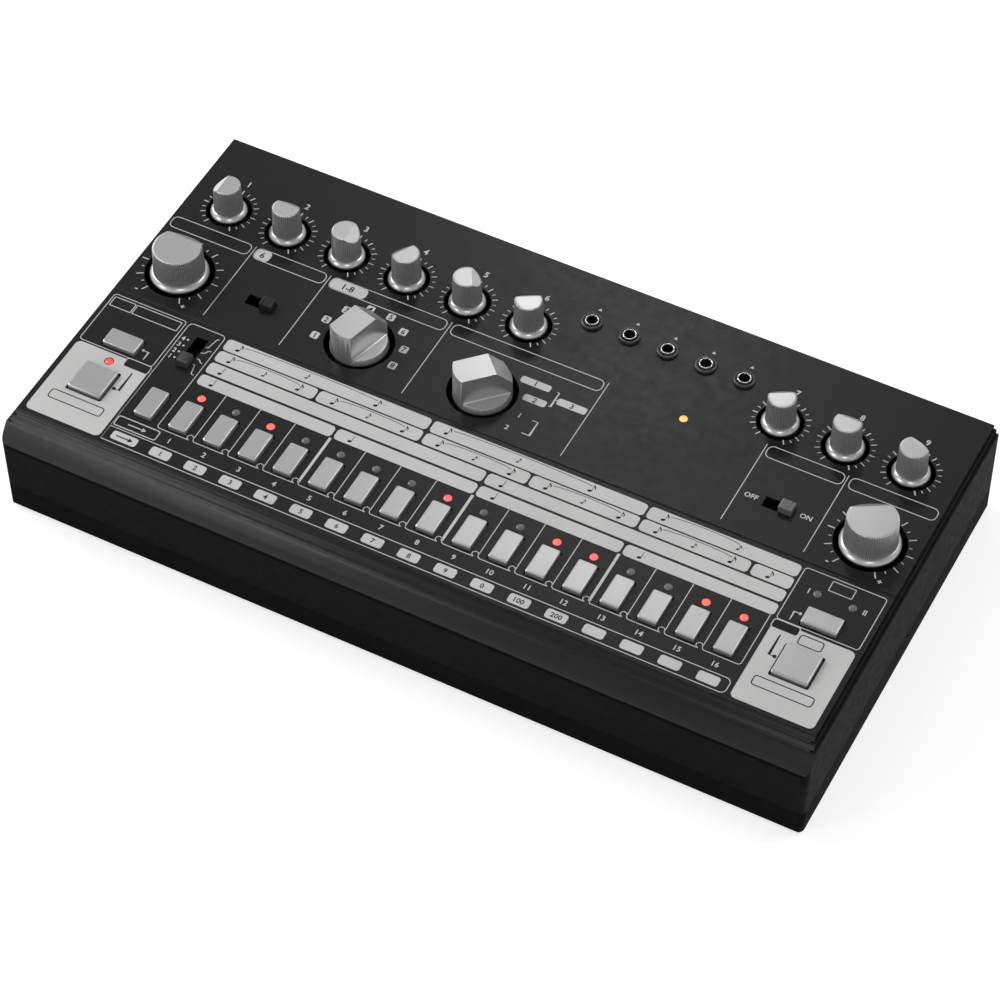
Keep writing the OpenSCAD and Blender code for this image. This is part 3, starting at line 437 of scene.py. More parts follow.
SMALL_KNOBS = {
    "knob_accent": -90,
    "knob_bass_drum": 0,
    "knob_snare_drum": 90,
    "knob_tom": -60,
    "knob_cymbal_clap": 60,
    "knob_hi_hat": -30,
    "knob_distortion": -30,
    "knob_tone": 0,
    "knob_level": 30,
}
for node, angle in SMALL_KNOBS.items():
    knob(node, angle, **SMALL)
knob("knob_tempo", 0, **LARGE)
knob("knob_volume", -30, **LARGE)


# ---- CAD nodes that stay ----


def soften(node, width, segments, angle):
    """Clears the triangles off flat faces and rounds the edges a little."""
    obj = NODES[node]
    weld = obj.modifiers.new("weld", "WELD")
    weld.merge_threshold = 1e-6
    clear = obj.modifiers.new("clear", "DECIMATE")
    clear.decimate_type = "DISSOLVE"
    clear.angle_limit = math.radians(0.6)
    edge = obj.modifiers.new("edge", "BEVEL")
    edge.width = width * MM
    edge.segments = segments
    edge.limit_method = "ANGLE"
    edge.angle_limit = math.radians(angle)
    edge.use_clamp_overlap = True
    edge.harden_normals = True


def finish_node(node, material, width, segments=2, angle=32.0):
    obj = NODES[node]
    obj.data.materials.clear()
    obj.data.materials.append(material)
    soften(node, width, segments, angle)


finish_node("top_case", CASE, 0.35, 3)
NODES["top_case"].data.materials.append(CASE_WALL_PAINTED_SHADE)
# Faces that do not face up get the darker copy, painted shade on the walls.
for face in NODES["top_case"].data.polygons:
    if face.normal.z < 0.5:
        face.material_index = 1
finish_node("bottom_case", BASE_PAINTED_SHADE, 0.3, 2)
finish_node("rear_panel", BACK, 0.25, 2)
finish_node("screws", STEEL, 0.12, 2)
finish_node("panel_board", DARK_BOARDS, 0.1, 1)
finish_node("button_board", DARK_BOARDS, 0.1, 1)
finish_node("main_board", BOARDS, 0.1, 1)
finish_node("board_connectors", PART, 0.2, 2)
finish_node("potentiometers", POT, 0.25, 2)
finish_node("rotary_switches", PART, 0.3, 2)
finish_node("slide_switch_bodies", CAN, 0.2, 2)
finish_node("tact_switches", PART, 0.2, 2)
finish_node("panel_jacks", SOCKET, 0.15, 2)
finish_node("voice_jacks", SOCKET, 0.2, 2)
finish_node("mix_jack", SOCKET, 0.3, 2)
finish_node("midi_sockets", SOCKET, 0.2, 2)
finish_node("usb_socket", CAN, 0.2, 2)
finish_node("power_inlet", SOCKET, 0.25, 2)
finish_node("power_switch_body", PART, 0.3, 2)
for node in ("selector_instrument", "selector_mode"):
    finish_node(node, SELECTOR, 0.4, 3, 24.0)


# ---- Buttons ----


KEY_W, KEY_D = 6.9, 12.9
SHORT_D = 7.1
KEY_PROUD = 1.6
FLANGE = 1.2
FLANGE_GAP = 0.367


def button(node, w, d):
    """A key cap with a soft top edge, its flange under the panel and its stem."""
    x, y, _ = centre(node)
    high = UNDER - FLANGE_GAP
    low = high - FLANGE
    top = PANEL + KEY_PROUD
    edge, corner = 0.5, 0.55
    shape = Shape()
    rings = []

    def ring(grow, z, r):
        rings.append([(px, py, z) for px, py in round_rect(w + grow, d + grow, r, 6)])

    ring(1.8, low, 0.8)
    ring(2.0, low + 0.1, 0.9)
    ring(2.0, high - 0.1, 0.9)
    ring(1.8, high, 0.8)
    ring(0, high, corner)
    ring(0, top - edge, corner)
    for i in range(1, 7):
        a = math.radians(90 * i / 6)
        ring(-2 * edge * (1 - math.cos(a)), top - edge * (1 - math.sin(a)), corner)
    ring(-2 * edge - 0.15, top, corner)
    ring(-2 * edge - 0.6, top, corner)
    shape.loops(rings, at(x, y))
    stem_low = BOARD + 1.9 + 0.8 + 0.5
    shape.lathe([(1.5, stem_low), (1.7, stem_low + 0.2), (1.7, low + 0.05)], 24, at(x, y))
    obj = shape.build(node + "_cap", BUTTON, node, 40, "button_plastic")
    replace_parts(obj, node)


for i in range(16):
    button(f"step_button_{i + 1:02d}", KEY_W, KEY_D)
button("button_function", KEY_W, KEY_D)
for node in ("button_start_stop", "button_write_next"):
    button(node, KEY_D, KEY_D)
for node in ("button_clear", "button_pattern_group"):
    button(node, KEY_D, SHORT_D)


# ---- Slide switch handles ----


HANDLE_H = 3.0


def handle(node, material, turn=0.0):
    """A ridged sliding handle with its blade; its length runs along X before it is turned."""
    low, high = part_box(node)
    x, y = (low.x + high.x) / 2 / MM, (low.y + high.y) / 2 / MM
    foot = BOARD + 5.5 + 0.3
    top = PANEL + HANDLE_H
    length, width = 4.8, 4.2
    shape = Shape()
    ridge, count, margin = 0.42, 5, 0.25
    start = -length / 2 + margin
    pitch = (length - 2 * margin) / count
    outline = [(-length / 2, foot), (length / 2, foot), (length / 2, top - ridge)]
    for i in range(count - 1, -1, -1):
        outline += [
            (start + (i + 0.86) * pitch, top - ridge),
            (start + (i + 0.66) * pitch, top - 0.06),
            (start + (i + 0.56) * pitch, top),
            (start + (i + 0.44) * pitch, top),
            (start + (i + 0.34) * pitch, top - 0.06),
            (start + (i + 0.14) * pitch, top - ridge),
        ]
    outline.append((-length / 2, top - ridge))
    place_at = at(x, y, 0, turn)
    inset = 0.22
    rings = []
    edge = width / 2
    for side, pull in ((-edge, inset), (-edge + inset, 0), (edge - inset, 0), (edge, inset)):
        rings.append([(px, side, pz - (pull if pz > top - ridge - 0.01 else 0)) for px, pz in outline])
    shape.loops(rings, place_at)
    half, low, high = 1.3, BOARD + 1.5, foot + 0.05
    blade = [[(-half, yy, low), (half, yy, low), (half, yy, high), (-half, yy, high)] for yy in (-1.2, 1.2)]
    shape.loops(blade, place_at)
    obj = shape.build(node + "_handle", material, node, 30, "switch_plastic")
    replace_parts(obj, node)


handle("slide_select", SWITCH_DARK)
handle("slide_distortion", SWITCH_GREY)
handle("slide_scale", SWITCH_MID, 90)


# ---- Lamps ----


LAMP_R, LAMP_RIM_R = 1.5, 1.9
LAMP_DOME = 0.55


def lamps(name, places, material):
    shape = Shape()
    for x, y in places:
        top = PANEL + 0.1
        low, rim, spring = top - 6.2, top - 5.2, top - 0.25
        profile = [(0.5, low), (LAMP_RIM_R, low), (LAMP_RIM_R, rim), (LAMP_R, rim), (LAMP_R, spring)]
        profile += [(LAMP_R * math.cos(math.radians(a)), spring + LAMP_DOME * math.sin(math.radians(a)))
                    for a in range(12, 85, 12)]
        shape.lathe(profile, 32, at(x, y))
        for s in (-0.9, 0.9):
            shape.prism(round_rect(0.5, 0.5, 0.1, 2, s, 0), BOARD, low + 0.05, at(x, y))
    obj = shape.build(name, material, STATIC, 40, "lamp")
    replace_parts(obj, "panel_lamps")


LIT = (1, 3, 8, 11, 12, 15, 16)
lamps("step_lamps_lit", [(KEY_X[i - 1], LAMP_Y) for i in LIT], LAMP_ON)
lamps("step_lamps_unlit", [(KEY_X[i], LAMP_Y) for i in range(16) if i + 1 not in LIT], LAMP_OFF)
lamps("start_lamp", [(-WIDE_X, LAMP_Y)], LAMP_START)
lamps("power_lamp", [(54.9, 28.15)], LAMP_POWER)
lamps("group_lamps", [(WIDE_X + s * 6.35, -20.26) for s in (-1, 1)], LAMP_OFF)


# ---- Jacks ----


def ring_nut(shape, matrix):
    """A nut turned from rod, with a soft edge and a fine grip round its side."""
    inner, outer, thick, edge = 2.95, 3.9, 1.2, 0.45
    profile = [(inner, 0), (outer - 0.1, 0), (outer, 0.1), (outer, thick - edge)]
    profile += [arc_point(outer - edge, thick - edge, edge, a) for a in (22, 45, 67, 90)]
    profile += [(inner + 0.25, thick), (inner, thick - 0.2)]

    def ripple(k, a):
        return -0.07 * (1 - abs(math.cos(a * 16))) if k in (2, 3) else 0

    shape.lathe(profile, 96, matrix, ripple, closed=True)


nuts = Shape()
for x in JACK_X:
    ring_nut(nuts, at(x, JACK_Y, PANEL))
facing_back = Matrix.Rotation(math.radians(-90), 4, "X")
for x in VOICE_X:
    ring_nut(nuts, Matrix.Translation((x, BACK_PLATE_Y, VOICE_Z)) @ facing_back)
hexagon = [[(*arc_point(0, 0, r, 60 * i), z) for i in range(6)]
           for r, z in ((4.85, 0), (7.1, 0), (7.4, 0.25), (7.4, 2.1), (7.05, 2.4), (4.85, 2.4))]
nuts.loops(hexagon, Matrix.Translation((MIX_X, BACK_PLATE_Y, MIX_Z)) @ facing_back, closed=True)
nut_obj = nuts.build("jack_nuts_turned", NUT, STATIC, 32, "nut_steel")
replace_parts(nut_obj, "jack_nuts")

rims = Shape()
for matrix, r in (
    [(at(x, JACK_Y, PANEL + 1.5), 2.45) for x in JACK_X]
    + [(Matrix.Translation((x, 77.2, VOICE_Z)) @ facing_back, 2.35) for x in VOICE_X]
    + [(Matrix.Translation((MIX_X, 82.35, MIX_Z)) @ facing_back, 4.2)]
):
    profile = [(r - 0.2 + 0.17 * math.cos(math.radians(a)), 0.14 * math.sin(math.radians(a)))
               for a in range(0, 360, 30)]
    rims.lathe(profile, 64, matrix, closed=True)
rims.build("jack_rims", CHROME, STATIC, 60, "socket_metal")


# ---- Feet and power cap ----

feet = Shape()
low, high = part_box("rubber_feet")
FOOT_R, FOOT_H = 6.5, 1.5
profile = [(0.4, 0.15), (3.6, 0.15), (4.2, 0.0), (5.9, 0.0), (6.3, 0.12)]
profile += [(FOOT_R, 0.4), (FOOT_R, FOOT_H), (0.4, FOOT_H)]
for x in (low.x / MM + FOOT_R, high.x / MM - FOOT_R):
    for y in (low.y / MM + FOOT_R, high.y / MM - FOOT_R):
        feet.lathe(profile, 48, at(x, y))
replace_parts(feet.build("rubber_feet_moulded", RUBBER, STATIC, 30, "foot_rubber"), "rubber_feet")

cap = Shape()
cx, _, cz = centre("power_switch_cap")
low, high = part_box("power_switch_cap")
half = 3.0
inner_end, outer_end = low.y / MM, high.y / MM
rings = []
for depth, grow in (
    (inner_end, -0.3),
    (inner_end + 0.3, 0),
    (outer_end - 0.5, 0),
    (outer_end - 0.35, -0.05),
    (outer_end - 0.15, -0.15),
    (outer_end - 0.03, -0.35),
    (outer_end, -0.6),
):
    across = 2 * (half + grow)
    rings.append([(cx + px, depth, cz - pz) for px, pz in round_rect(across, across, 0.5, 5)])
cap.loops(rings)
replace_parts(cap.build("power_switch_cap_moulded", SWITCH_DARK, "power_switch_cap", 40, "switch_plastic"),
            "power_switch_cap")


# ---- Printed legend ----

LAYER = 0.02
silver, dark = Shape(), Shape()
LINE = 0.3


def fill(shape, outline, level=0):
    shape.prism(outline, PANEL + LAYER * level, PANEL + LAYER * (level + 1))


def stroke_box(shape, x0, y0, x1, y1, r=0.0, w=LINE, level=0):
    outer = span(x0 - w / 2, y0 - w / 2, x1 + w / 2, y1 + w / 2, max(r + w / 2, 0.02), 5)
    inner = span(x0 + w / 2, y0 + w / 2, x1 - w / 2, y1 - w / 2, max(r - w / 2, 0.01), 5)
    shape.frame(outer, inner, PANEL + LAYER * level, PANEL + LAYER * (level + 1))


def segment(shape, x0, y0, x1, y1, w=LINE, level=0):
    length = math.hypot(x1 - x0, y1 - y0)
    nx, ny = -(y1 - y0) / length * w / 2, (x1 - x0) / length * w / 2
    fill(shape, [(x0 + nx, y0 + ny), (x0 - nx, y0 - ny), (x1 - nx, y1 - ny), (x1 + nx, y1 + ny)], level)


def path(shape, points, w=LINE, level=0):
    """A bent line of even width."""
    points = [p for i, p in enumerate(points) if i == 0 or math.dist(p, points[i - 1]) > 1e-6]
    left, right = [], []
    for i, (x, y) in enumerate(points):
        ax, ay = points[max(i - 1, 0)]
        bx, by = points[min(i + 1, len(points) - 1)]
        length = math.hypot(bx - ax, by - ay)
        nx, ny = -(by - ay) / length, (bx - ax) / length
        stretch = 1.0
        if 0 < i < len(points) - 1:
            sx, sy = bx - x, by - y
            sl = math.hypot(sx, sy)
            stretch = 1 / max(0.5, abs((-sy / sl) * nx + (sx / sl) * ny))
        left.append((x + nx * w / 2 * stretch, y + ny * w / 2 * stretch))
        right.append((x - nx * w / 2 * stretch, y - ny * w / 2 * stretch))
    for i in range(len(points) - 1):
        fill(shape, [left[i], right[i], right[i + 1], left[i + 1]], level)


def circle(x, y, r, n=32):
    return [arc_point(x, y, r, 360 * i / n) for i in range(n)]


def disc(shape, x, y, r, level=0):
    fill(shape, circle(x, y, r, 24), level)


def curve_points(x, y, r, a0, a1, n=8):
    return [arc_point(x, y, r, a0 + (a1 - a0) * i / n) for i in range(n + 1)]


GLYPHS = {}


def text(shape, words, x, y, height, level=0):
    """Plain numbers and switch words from Blender's own font, centred on a point."""
    if words not in GLYPHS:
        curve = bpy.data.curves.new("glyphs", "FONT")
        curve.body = words
        curve.size = 1.0
        curve.extrude = 0.5
        curve.offset = 0.018
        curve.resolution_u = 2
        obj = bpy.data.objects.new("glyphs", curve)
        bpy.context.scene.collection.objects.link(obj)
        bpy.context.view_layer.update()
        mesh = obj.evaluated_get(bpy.context.evaluated_depsgraph_get()).to_mesh()
        verts = [tuple(v.co) for v in mesh.vertices]
        faces = [list(p.vertices) for p in mesh.polygons]
        obj.to_mesh_clear()
        bpy.data.objects.remove(obj)
        bpy.data.curves.remove(curve)
        GLYPHS[words] = verts, faces
    verts, faces = GLYPHS[words]
    low_x, high_x = min(v[0] for v in verts), max(v[0] for v in verts)
    low_y, high_y = min(v[1] for v in verts), max(v[1] for v in verts)
    scale = height / (high_y - low_y)
    base = PANEL + LAYER * (level + 0.5)
    mid_x, mid_y = (low_x + high_x) / 2, (low_y + high_y) / 2
    placed = [(x + (v[0] - mid_x) * scale, y + (v[1] - mid_y) * scale, base + v[2] * LAYER) for v in verts]
    shape.put(placed, faces)


SWEEP = 300


def dial(x, y, main, minor):
    """Ticks at each of the eleven steps of a dial and halfway between them."""
    for i in range(21):
        a = 90 - (-SWEEP / 2 + SWEEP * i / 20)
        r0, r1, w = (*main, 0.42) if i % 2 == 0 else (*minor, 0.34)
        segment(silver, *arc_point(x, y, r0, a), *arc_point(x, y, r1, a), w)


for x in SMALL_X:
    dial(x, SMALL_Y + 0.4, (8.6, 10.6), (9.0, 10.2))
for x in (-BIG_X, BIG_X):
    dial(x, ROW_Y + 0.2, (12.9, 15.5), (13.1, 14.1))
for i, x in enumerate(SMALL_X):
    text(silver, str(i + 1), x, 56.6, 2.6)

# Boxes of the upper field
BOX_LOW, BOX_HIGH, BOX_R = 25.65, 30.97, 2.0
for x0, x1 in (
    (-149.2, -116.85),
    (-114.7, -86.1),
    (-83.8, -37.6),
    (-35.0, 23.8),
    (86.3, 114.7),
    (117.0, 148.9),
):
    stroke_box(silver, x0, BOX_LOW, x1, BOX_HIGH, BOX_R, 0.32)
for x in (-115.6, -85.0, -36.3, 25.1, 85.2, 115.6):
    segment(silver, x, BOX_HIGH, x, -6.2, LINE)
for x0, x1, words, middle in ((-114.7, -108.4, "6", -111.6), (-83.8, -69.2, "1-8", -76.5)):
    fill(silver, span(x0, BOX_LOW, x1, BOX_HIGH, BOX_R))
    text(dark, words, middle, 28.3, 2.8, 1)

# Selector places
PLACE_STEP, PLACE_R = 30, 16.0
for i in range(8):
    px, py = arc_point(INSTRUMENT_X, ROW_Y, PLACE_R, 90 - PLACE_STEP * (i - 3.5))
    fill(silver, round_rect(3.0, 3.2, 0.6, 4, px, py))
    text(dark, str(i + 1), px, py, 2.3, 1)
MODE_FIELDS = ((-2.9, 17.4, 8.6, 20.4), (1.6, 10.4, 10.3, 13.4), (13.0, 13.8, 24.1, 16.9))
for n, (x0, y0, x1, y1) in enumerate(MODE_FIELDS):
    fill(silver, span(x0, y0, x1, y1, 0.9))
    text(dark, str(n + 1), (x0 + x1) / 2, (y0 + y1) / 2, 2.2, 1)
for n, py in ((1, 3.5), (2, -3.1)):
    text(silver, str(n), 4.5 - 1.5 * (n - 1), py, 2.1)
path(silver, [(11.1, 18.9), (12.0, 18.9), (12.0, 11.9), (11.1, 11.9)], 0.4)
segment(silver, 12.0, 15.4, 13.0, 15.4, 0.4)
path(silver, [(9.4, 3.5), (11.6, 3.5), (11.6, -3.1), (8.6, -3.1)], 0.4)
for s in (-1, 1):
    text(silver, "-", s * BIG_X - 9.5, -6.2, 0.5)
    text(silver, "+", s * BIG_X + 9.5, -6.2, 1.6)
text(silver, "OFF", 90.0, ROW_Y, 2.1)
text(silver, "ON", 110.2, ROW_Y, 2.1)

# Jack marks
for x in JACK_X:
    fill(silver, [(x - 0.75, 59.7), (x + 0.75, 59.7), (x, 60.9)])

# Scale switch marks
for i, py in enumerate((-18.85, -21.89, -24.93, -27.97)):
    disc(silver, -114.3, py, 0.42)
    text(silver, str(4 - i), -116.1, py, 2.0)
for strokes in (
    [(-106.9, -18.9), (-106.1, -18.9), (-105.3, -14.6), (-105.0, -14.1), (-104.4, -13.8)],
    [(-107.2, -22.0), (-106.3, -21.9), (-105.7, -21.4), (-105.3, -20.4), (-104.9, -20.1), (-104.2, -20.05)],
    [(-106.9, -25.0), (-106.3, -25.0), (-105.7, -25.3), (-105.0, -26.1), (-104.3, -26.2)],
    [(-106.9, -27.95), (-106.2, -27.9), (-106.0, -28.4), (-105.3, -31.7), (-104.9, -32.1), (-104.1, -32.1)],
):
    path(silver, strokes, 0.34)

# Strips with note signs
STRIP_START, STRIP_END, STRIP_R = -101.7, 118.0, 1.5
ROWS = (
    (-11.7, -17.15, ((-20.9, -19.9), (61.5, 62.4))),
    (-17.75, -23.0, ((-62.2, -61.4), (-20.9, -19.9), (20.3, 21.1), (61.5, 62.4), (102.5, 103.5))),
    (-23.8, -29.0, ((6.6, 7.4),)),
    (-30.0, -35.0, ((-48.4, -47.4), (6.6, 7.4), (61.5, 62.4))),
)
for high_y, low_y, gaps in ROWS:
    starts = [STRIP_START] + [gap[1] for gap in gaps]
    ends = [gap[0] for gap in gaps] + [STRIP_END]
    for x0, x1 in zip(starts, ends):
        fill(silver, span(x0, low_y, x1, high_y, STRIP_R))


FLAG = ((-0.05, 0), (-0.05, -0.7), (0.55, -1.25), (0.7, -2.1), (0.98, -1.5), (0.82, -0.85), (0.3, -0.45))


def note(x, y, tail=False, size=1.0):
    """A note sign: slanted head, stem and, on a short note, a flag. The point is the middle of the head."""
    head = []
    along, across = math.cos(math.radians(22)), math.sin(math.radians(22))
    for i in range(20):
        a = math.radians(18 * i)
        u, v = 0.78 * size * math.cos(a), 0.52 * size * math.sin(a)
        head.append((x + u * along - v * across, y + u * across + v * along))
    fill(dark, head, 1)
    stem, high = x + 0.62 * size, y + 3.1 * size
    segment(dark, stem, y + 0.15, stem, high, 0.2, 1)
    if tail:
        fill(dark, [(stem + u * size, high + v * size) for u, v in FLAG], 1)


def tie(x0, x1, y):
    """A shallow arc that rises over the notes between its ends."""
    mid, half, rise = (x0 + x1) / 2, (x1 - x0) / 2, 1.0
    path(dark, [(mid + half * math.cos(math.radians(180 - 180 * i / 24)),
                 y + rise * math.sin(math.radians(180 * i / 24))) for i in range(25)], 0.22, 1)


def triplets(y, first, step):
    """A full note, a small one and a full one again, tied together."""
    cols = [c for c in (first, first + step, first + 2 * step) if c < 16]
    for n, c in enumerate(cols):
        note(KEY_X[c] - 0.35, y, True, 0.68 if n == 1 else 1.0)
    if len(cols) > 1:
        tie(KEY_X[cols[0]] + 1.7, KEY_X[cols[-1]] - 0.5, y + 2.05)


for first in (0, 6, 12):
    triplets(-15.35, first, 2)
for first in range(0, 16, 3):
    triplets(-21.4, first, 1)
for c in (0, 8):
    note(KEY_X[c] - 0.35, -27.43)
for c in (0, 4, 8, 12):
    note(KEY_X[c] - 0.35, -33.5)

# Step cells
CELL_LOW, CELL_HIGH, CELL_R = -58.35, -35.15, 1.2
CELL_START, CELL_END = -103.1, 117.0
BEND_Y = CELL_LOW + CELL_R
for k in range(16):
    x = -89.2 + KEY_PITCH * k
    if k < 15:
        segment(silver, x, CELL_HIGH, x, CELL_LOW + 1.0, 1.0 if k in (3, 7, 11) else LINE)
        for s in (-1, 1):
            bend = curve_points(x + s * CELL_R, BEND_Y, CELL_R, 180 if s > 0 else 0, 270, 5)
            path(silver, [(x, BEND_Y)] + bend, LINE)
    x0 = CELL_START if k == 0 else x - KEY_PITCH
    x1 = CELL_END if k == 15 else x
    segment(silver, x0 + CELL_R, CELL_LOW, x1 - CELL_R, CELL_LOW, LINE)
left_bend = curve_points(CELL_START + CELL_R, BEND_Y, CELL_R, 180, 270, 5)
path(silver, [(CELL_START, -13.2), (CELL_START, BEND_Y)] + left_bend, LINE)
right_bend = curve_points(CELL_END - CELL_R, BEND_Y, CELL_R, 0, -90, 5)
path(silver, [(CELL_END, -35.0), (CELL_END, BEND_Y)] + right_bend, LINE)
for i, x in enumerate(KEY_X):
    text(silver, str(i + 1), x, -61.7, 2.2)

# Frame of the scale switch and the two long lines
path(
    silver,
    curve_points(-104.8, -13.2, 1.7, 0, 90, 6)
    + curve_points(-115.9, -13.2, 1.7, 90, 180, 6)
    + [(-117.6, -71.2), (115.3, -71.2)]
    + curve_points(115.3, -69.2, 2.0, -90, 0, 6)
    + curve_points(115.3, -66.9, 2.0, 0, 90, 6)
    + [(-117.6, -64.9)],
    LINE,
)
stroke_box(silver, -117.1, -63.9, -100.7, -59.6, 0.8, 0.4)
path(silver, [(-112.4, -61.8), (-106.6, -61.8)], 0.4)
fill(silver, [(-106.8, -60.9), (-105.2, -61.8), (-106.8, -62.7)])
fill(silver, span(-115.1, -69.8, -105.2, -66.0, 1.0))
fill(dark, [(-108.6, -66.9), (-106.9, -67.9), (-108.6, -68.9)], 1)
segment(dark, -113.4, -67.9, -108.5, -67.9, 0.5, 1)
MORE_LABELS = {9: "0", 10: "100", 11: "200"}
for i, x in enumerate(KEY_X):
    fill(silver, span(x + 0.3 - 3.9, -70.0, x + 0.3 + 3.9, -66.0, 1.0))
    label = str(i + 1) if i < 9 else MORE_LABELS.get(i)
    if label:
        text(dark, label, x + 0.3, -68.0, 2.1, 1)

# Frames at both ends
stroke_box(silver, -148.4, -35.6, -118.9, -11.7, 1.2)
stroke_box(silver, -147.5, -17.2, -139.0, -12.9, 0.25, 0.32)
stroke_box(silver, -138.3, -17.2, -120.2, -12.9, 0.25, 0.32)
stroke_box(silver, 119.1, -35.4, 148.5, -11.7, 1.2)
stroke_box(silver, 129.6, -17.2, 137.9, -13.0, 0.25, 0.32)
text(silver, "I", 124.0, -20.3, 2.2)
text(silver, "II", 144.1, -20.3, 2.2)
for s in (-1, 1):
    path(silver, [(s * 123.35, -34.0), (s * 123.35, -30.3), (s * 125.3, -30.3)], 0.34)
    disc(silver, s * 125.5, -30.3, 0.6)
    path(dark, [(s * 123.35, -41.2), (s * 123.35, -50.1), (s * 125.0, -50.1)], 0.5, 1)
    disc(dark, s * 125.35, -50.1, 0.7, 1)


def field(x0, y0, x1, y1, r, holes):
    """A printed field with openings for what comes up through the panel."""
    curve = bpy.data.curves.new("field", "CURVE")
    curve.dimensions = "2D"
    curve.fill_mode = "BOTH"
    curve.extrude = LAYER / 2
    for outline in [span(x0, y0, x1, y1, r, 6)] + holes:
        line = curve.splines.new("POLY")
        line.points.add(len(outline) - 1)
        for point, (px, py) in zip(line.points, outline):
            point.co = (px, py, 0, 1)
        line.use_cyclic_u = True
    obj = bpy.data.objects.new("field", curve)
    bpy.context.scene.collection.objects.link(obj)
    bpy.context.view_layer.update()
    mesh = obj.evaluated_get(bpy.context.evaluated_depsgraph_get()).to_mesh()
    silver.put([(v.co.x, v.co.y, v.co.z + PANEL + LAYER / 2) for v in mesh.vertices],
               [list(p.vertices) for p in mesh.polygons])
    obj.to_mesh_clear()
    bpy.data.objects.remove(obj)
    bpy.data.curves.remove(curve)


def key_hole(side):
    return round_rect(14.3, 14.3, 0.6, 3, side * WIDE_X, KEY_Y)


field(-148.3, -71.3, -118.6, -36.4, 2.0, [key_hole(-1), circle(-WIDE_X, LAMP_Y, 1.75)])
field(119.0, -71.2, 148.5, -36.6, 2.0, [key_hole(1)])
fill(dark, span(-128.4, -39.6, -118.6, -35.6, 1.0), 1)
fill(dark, span(118.9, -39.5, 128.4, -35.7, 1.0), 1)
stroke_box(silver, -128.4, -39.6, -118.6, -35.6, 1.0, 0.35, 2)
stroke_box(silver, 118.9, -39.5, 128.4, -35.7, 1.0, 0.35, 2)
stroke_box(dark, 129.5, -41.9, 137.8, -37.9, 1.0, 0.4, 1)
stroke_box(dark, 123.0, -63.5, 144.2, -59.6, 1.0, 0.4, 1)
stroke_box(dark, -144.0, -63.5, -123.0, -59.6, 1.0, 0.4, 1)

silver.build("legend_silver", PRINT, STATIC, 30)
dark.build("legend_dark", INK, STATIC, 30)


# ---- Floor, light and camera ----

floor_mesh = bpy.data.meshes.new("floor")
FLOOR_HALF = 6.0
corners = [(sx * FLOOR_HALF, sy * FLOOR_HALF, 0) for sx, sy in ((-1, -1), (1, -1), (1, 1), (-1, 1))]
floor_mesh.from_pydata(corners, [], [(0, 1, 2, 3)])
floor = bpy.data.objects.new("floor", floor_mesh)
bpy.context.scene.collection.objects.link(floor)


def seen_only(tree, strong, weak):
    """A strength for what the camera, gloss and glass see, and another for the light that it gives."""
    rays = add(tree, "ShaderNodeLightPath")
    high = add(tree, "ShaderNodeMath", operation="MAXIMUM")
    tree.links.new(rays.outputs["Is Camera Ray"], high.inputs[0])
    tree.links.new(rays.outputs["Is Glossy Ray"], high.inputs[1])
    higher = add(tree, "ShaderNodeMath", operation="MAXIMUM")
    tree.links.new(high.outputs[0], higher.inputs[0])
    tree.links.new(rays.outputs["Is Transmission Ray"], higher.inputs[1])
    out = add(tree, "ShaderNodeMapRange", inputs={"To Min": weak, "To Max": strong})
    tree.links.new(higher.outputs[0], out.inputs["Value"])
    return out.outputs["Result"]


floor_material, tree, shader = new_material("floor_pale")
floor_mesh.materials.append(floor_material)
shader.inputs["Base Color"].default_value = (0.6, 0.6, 0.6, 1)
shader.inputs["Roughness"].default_value = 0.9
shader.inputs["Specular IOR Level"].default_value = 0.0
shader.inputs["Emission Color"].default_value = (1, 1, 1, 1)
tree.links.new(seen_only(tree, 0.62, 0.0), shader.inputs["Emission Strength"])

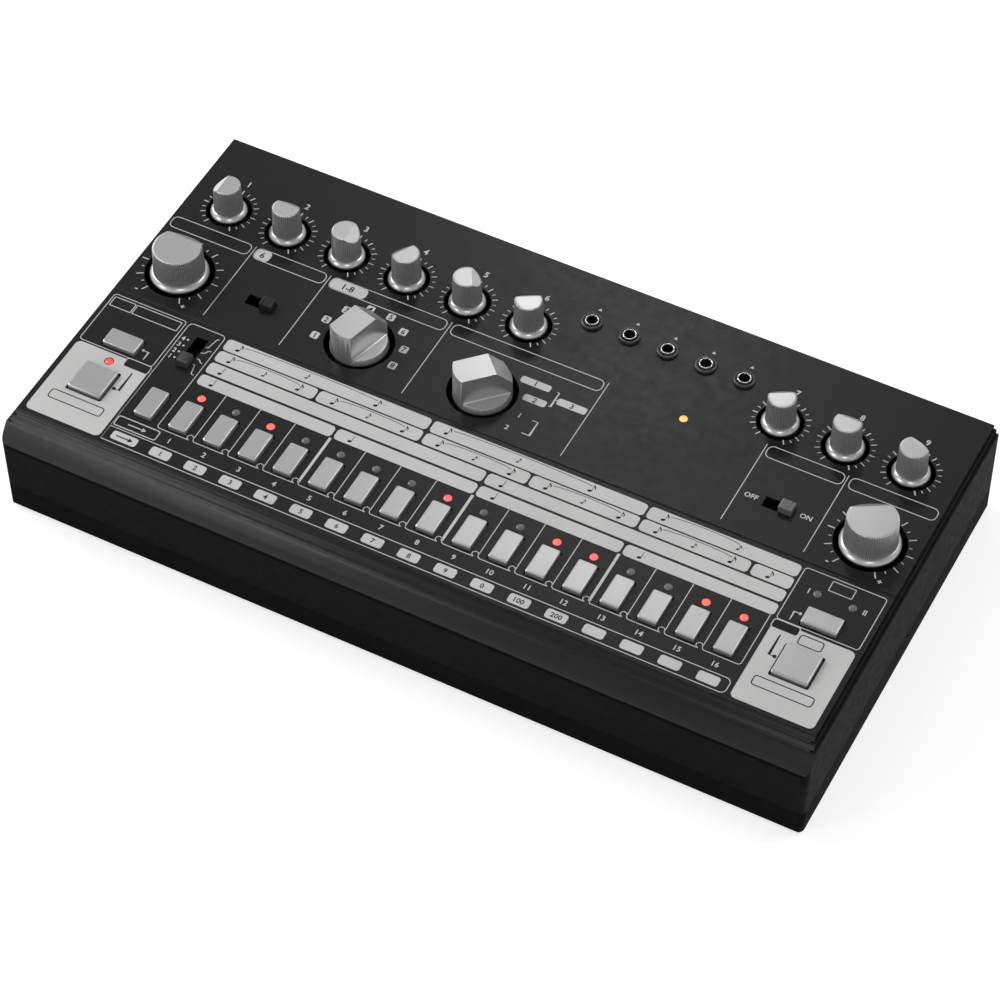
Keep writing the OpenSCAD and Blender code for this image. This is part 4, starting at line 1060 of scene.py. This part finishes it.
world = bpy.data.worlds.new("studio")
bpy.context.scene.world = world
world.use_nodes = True
tree = world.node_tree
background = tree.nodes["Background"]
background.inputs["Color"].default_value = (1, 1, 1, 1)
sky = add(tree, "ShaderNodeTexCoord")
up_part = add(tree, "ShaderNodeSeparateXYZ")
tree.links.new(sky.outputs["Generated"], up_part.inputs["Vector"])
sky_level = spread(tree, up_part.outputs["Z"], 0.85, 0.28, 0.05, 0.75)
rays = add(tree, "ShaderNodeLightPath")
for_bounce = add(tree, "ShaderNodeMix", data_type="FLOAT")
tree.links.new(rays.outputs["Is Diffuse Ray"], for_bounce.inputs["Factor"])
tree.links.new(sky_level, for_bounce.inputs["A"])
for_bounce.inputs["B"].default_value = 0.42
tree.links.new(for_bounce.outputs["Result"], background.inputs["Strength"])


def softbox(name, place_at, aim, size, watts, size_y=None):
    data = bpy.data.lights.new(name, "AREA")
    data.shape = "RECTANGLE"
    data.size = size
    data.size_y = size_y or size
    data.energy = watts
    obj = bpy.data.objects.new(name, data)
    obj.location = place_at
    obj.rotation_mode = "QUATERNION"
    obj.rotation_quaternion = (Vector(place_at) - Vector(aim)).to_track_quat("Z", "Y")
    bpy.context.scene.collection.objects.link(obj)


softbox("back_softbox", (-0.43, 1.04, 1.24), (0, 0, 0.05), 0.2, 1.15, 0.24)
softbox("key_softbox", (-1.7, 0.2, 1.3), (0, 0, 0), 1.0, 28.0)
softbox("right_softbox", (1.1, 1.1, 1.5), (0, 0, 0), 0.8, 9.0)
softbox("front_card", (0.9, -1.7, 1.6), (0, 0, 0.03), 0.7, 7.0)
softbox("left_card", (-1.35, -1.7, 0.9), (0, 0, 0.03), 0.7, 8.0)

camera_data = bpy.data.cameras.new("camera")
camera = bpy.data.objects.new("camera", camera_data)
bpy.context.scene.collection.objects.link(camera)
camera_data.sensor_width = 36
camera_data.lens = 126.98
camera_data.shift_x = -0.0083
camera_data.shift_y = 0.0023
camera_data.clip_start = 0.01
camera_data.clip_end = 50
azimuth, elevation, roll = math.radians(27.811), math.radians(50.430), math.radians(-0.264)
level = math.cos(elevation)
away = Vector((math.sin(azimuth) * level, -math.cos(azimuth) * level, math.sin(elevation)))
right = (-away).cross(Vector((0, 0, 1))).normalized()
up = right.cross(-away)
right, up = (math.cos(roll) * right + math.sin(roll) * up, -math.sin(roll) * right + math.cos(roll) * up)
turn = Matrix((right, up, away)).transposed()
AIM = Vector((2.061, -0.488, -0.732)) * MM
DISTANCE = 1.239971
camera.matrix_world = Matrix.Translation(AIM + away * DISTANCE) @ turn.to_4x4()
bpy.context.scene.camera = camera
bpy.context.scene.view_settings.view_transform = "Standard"
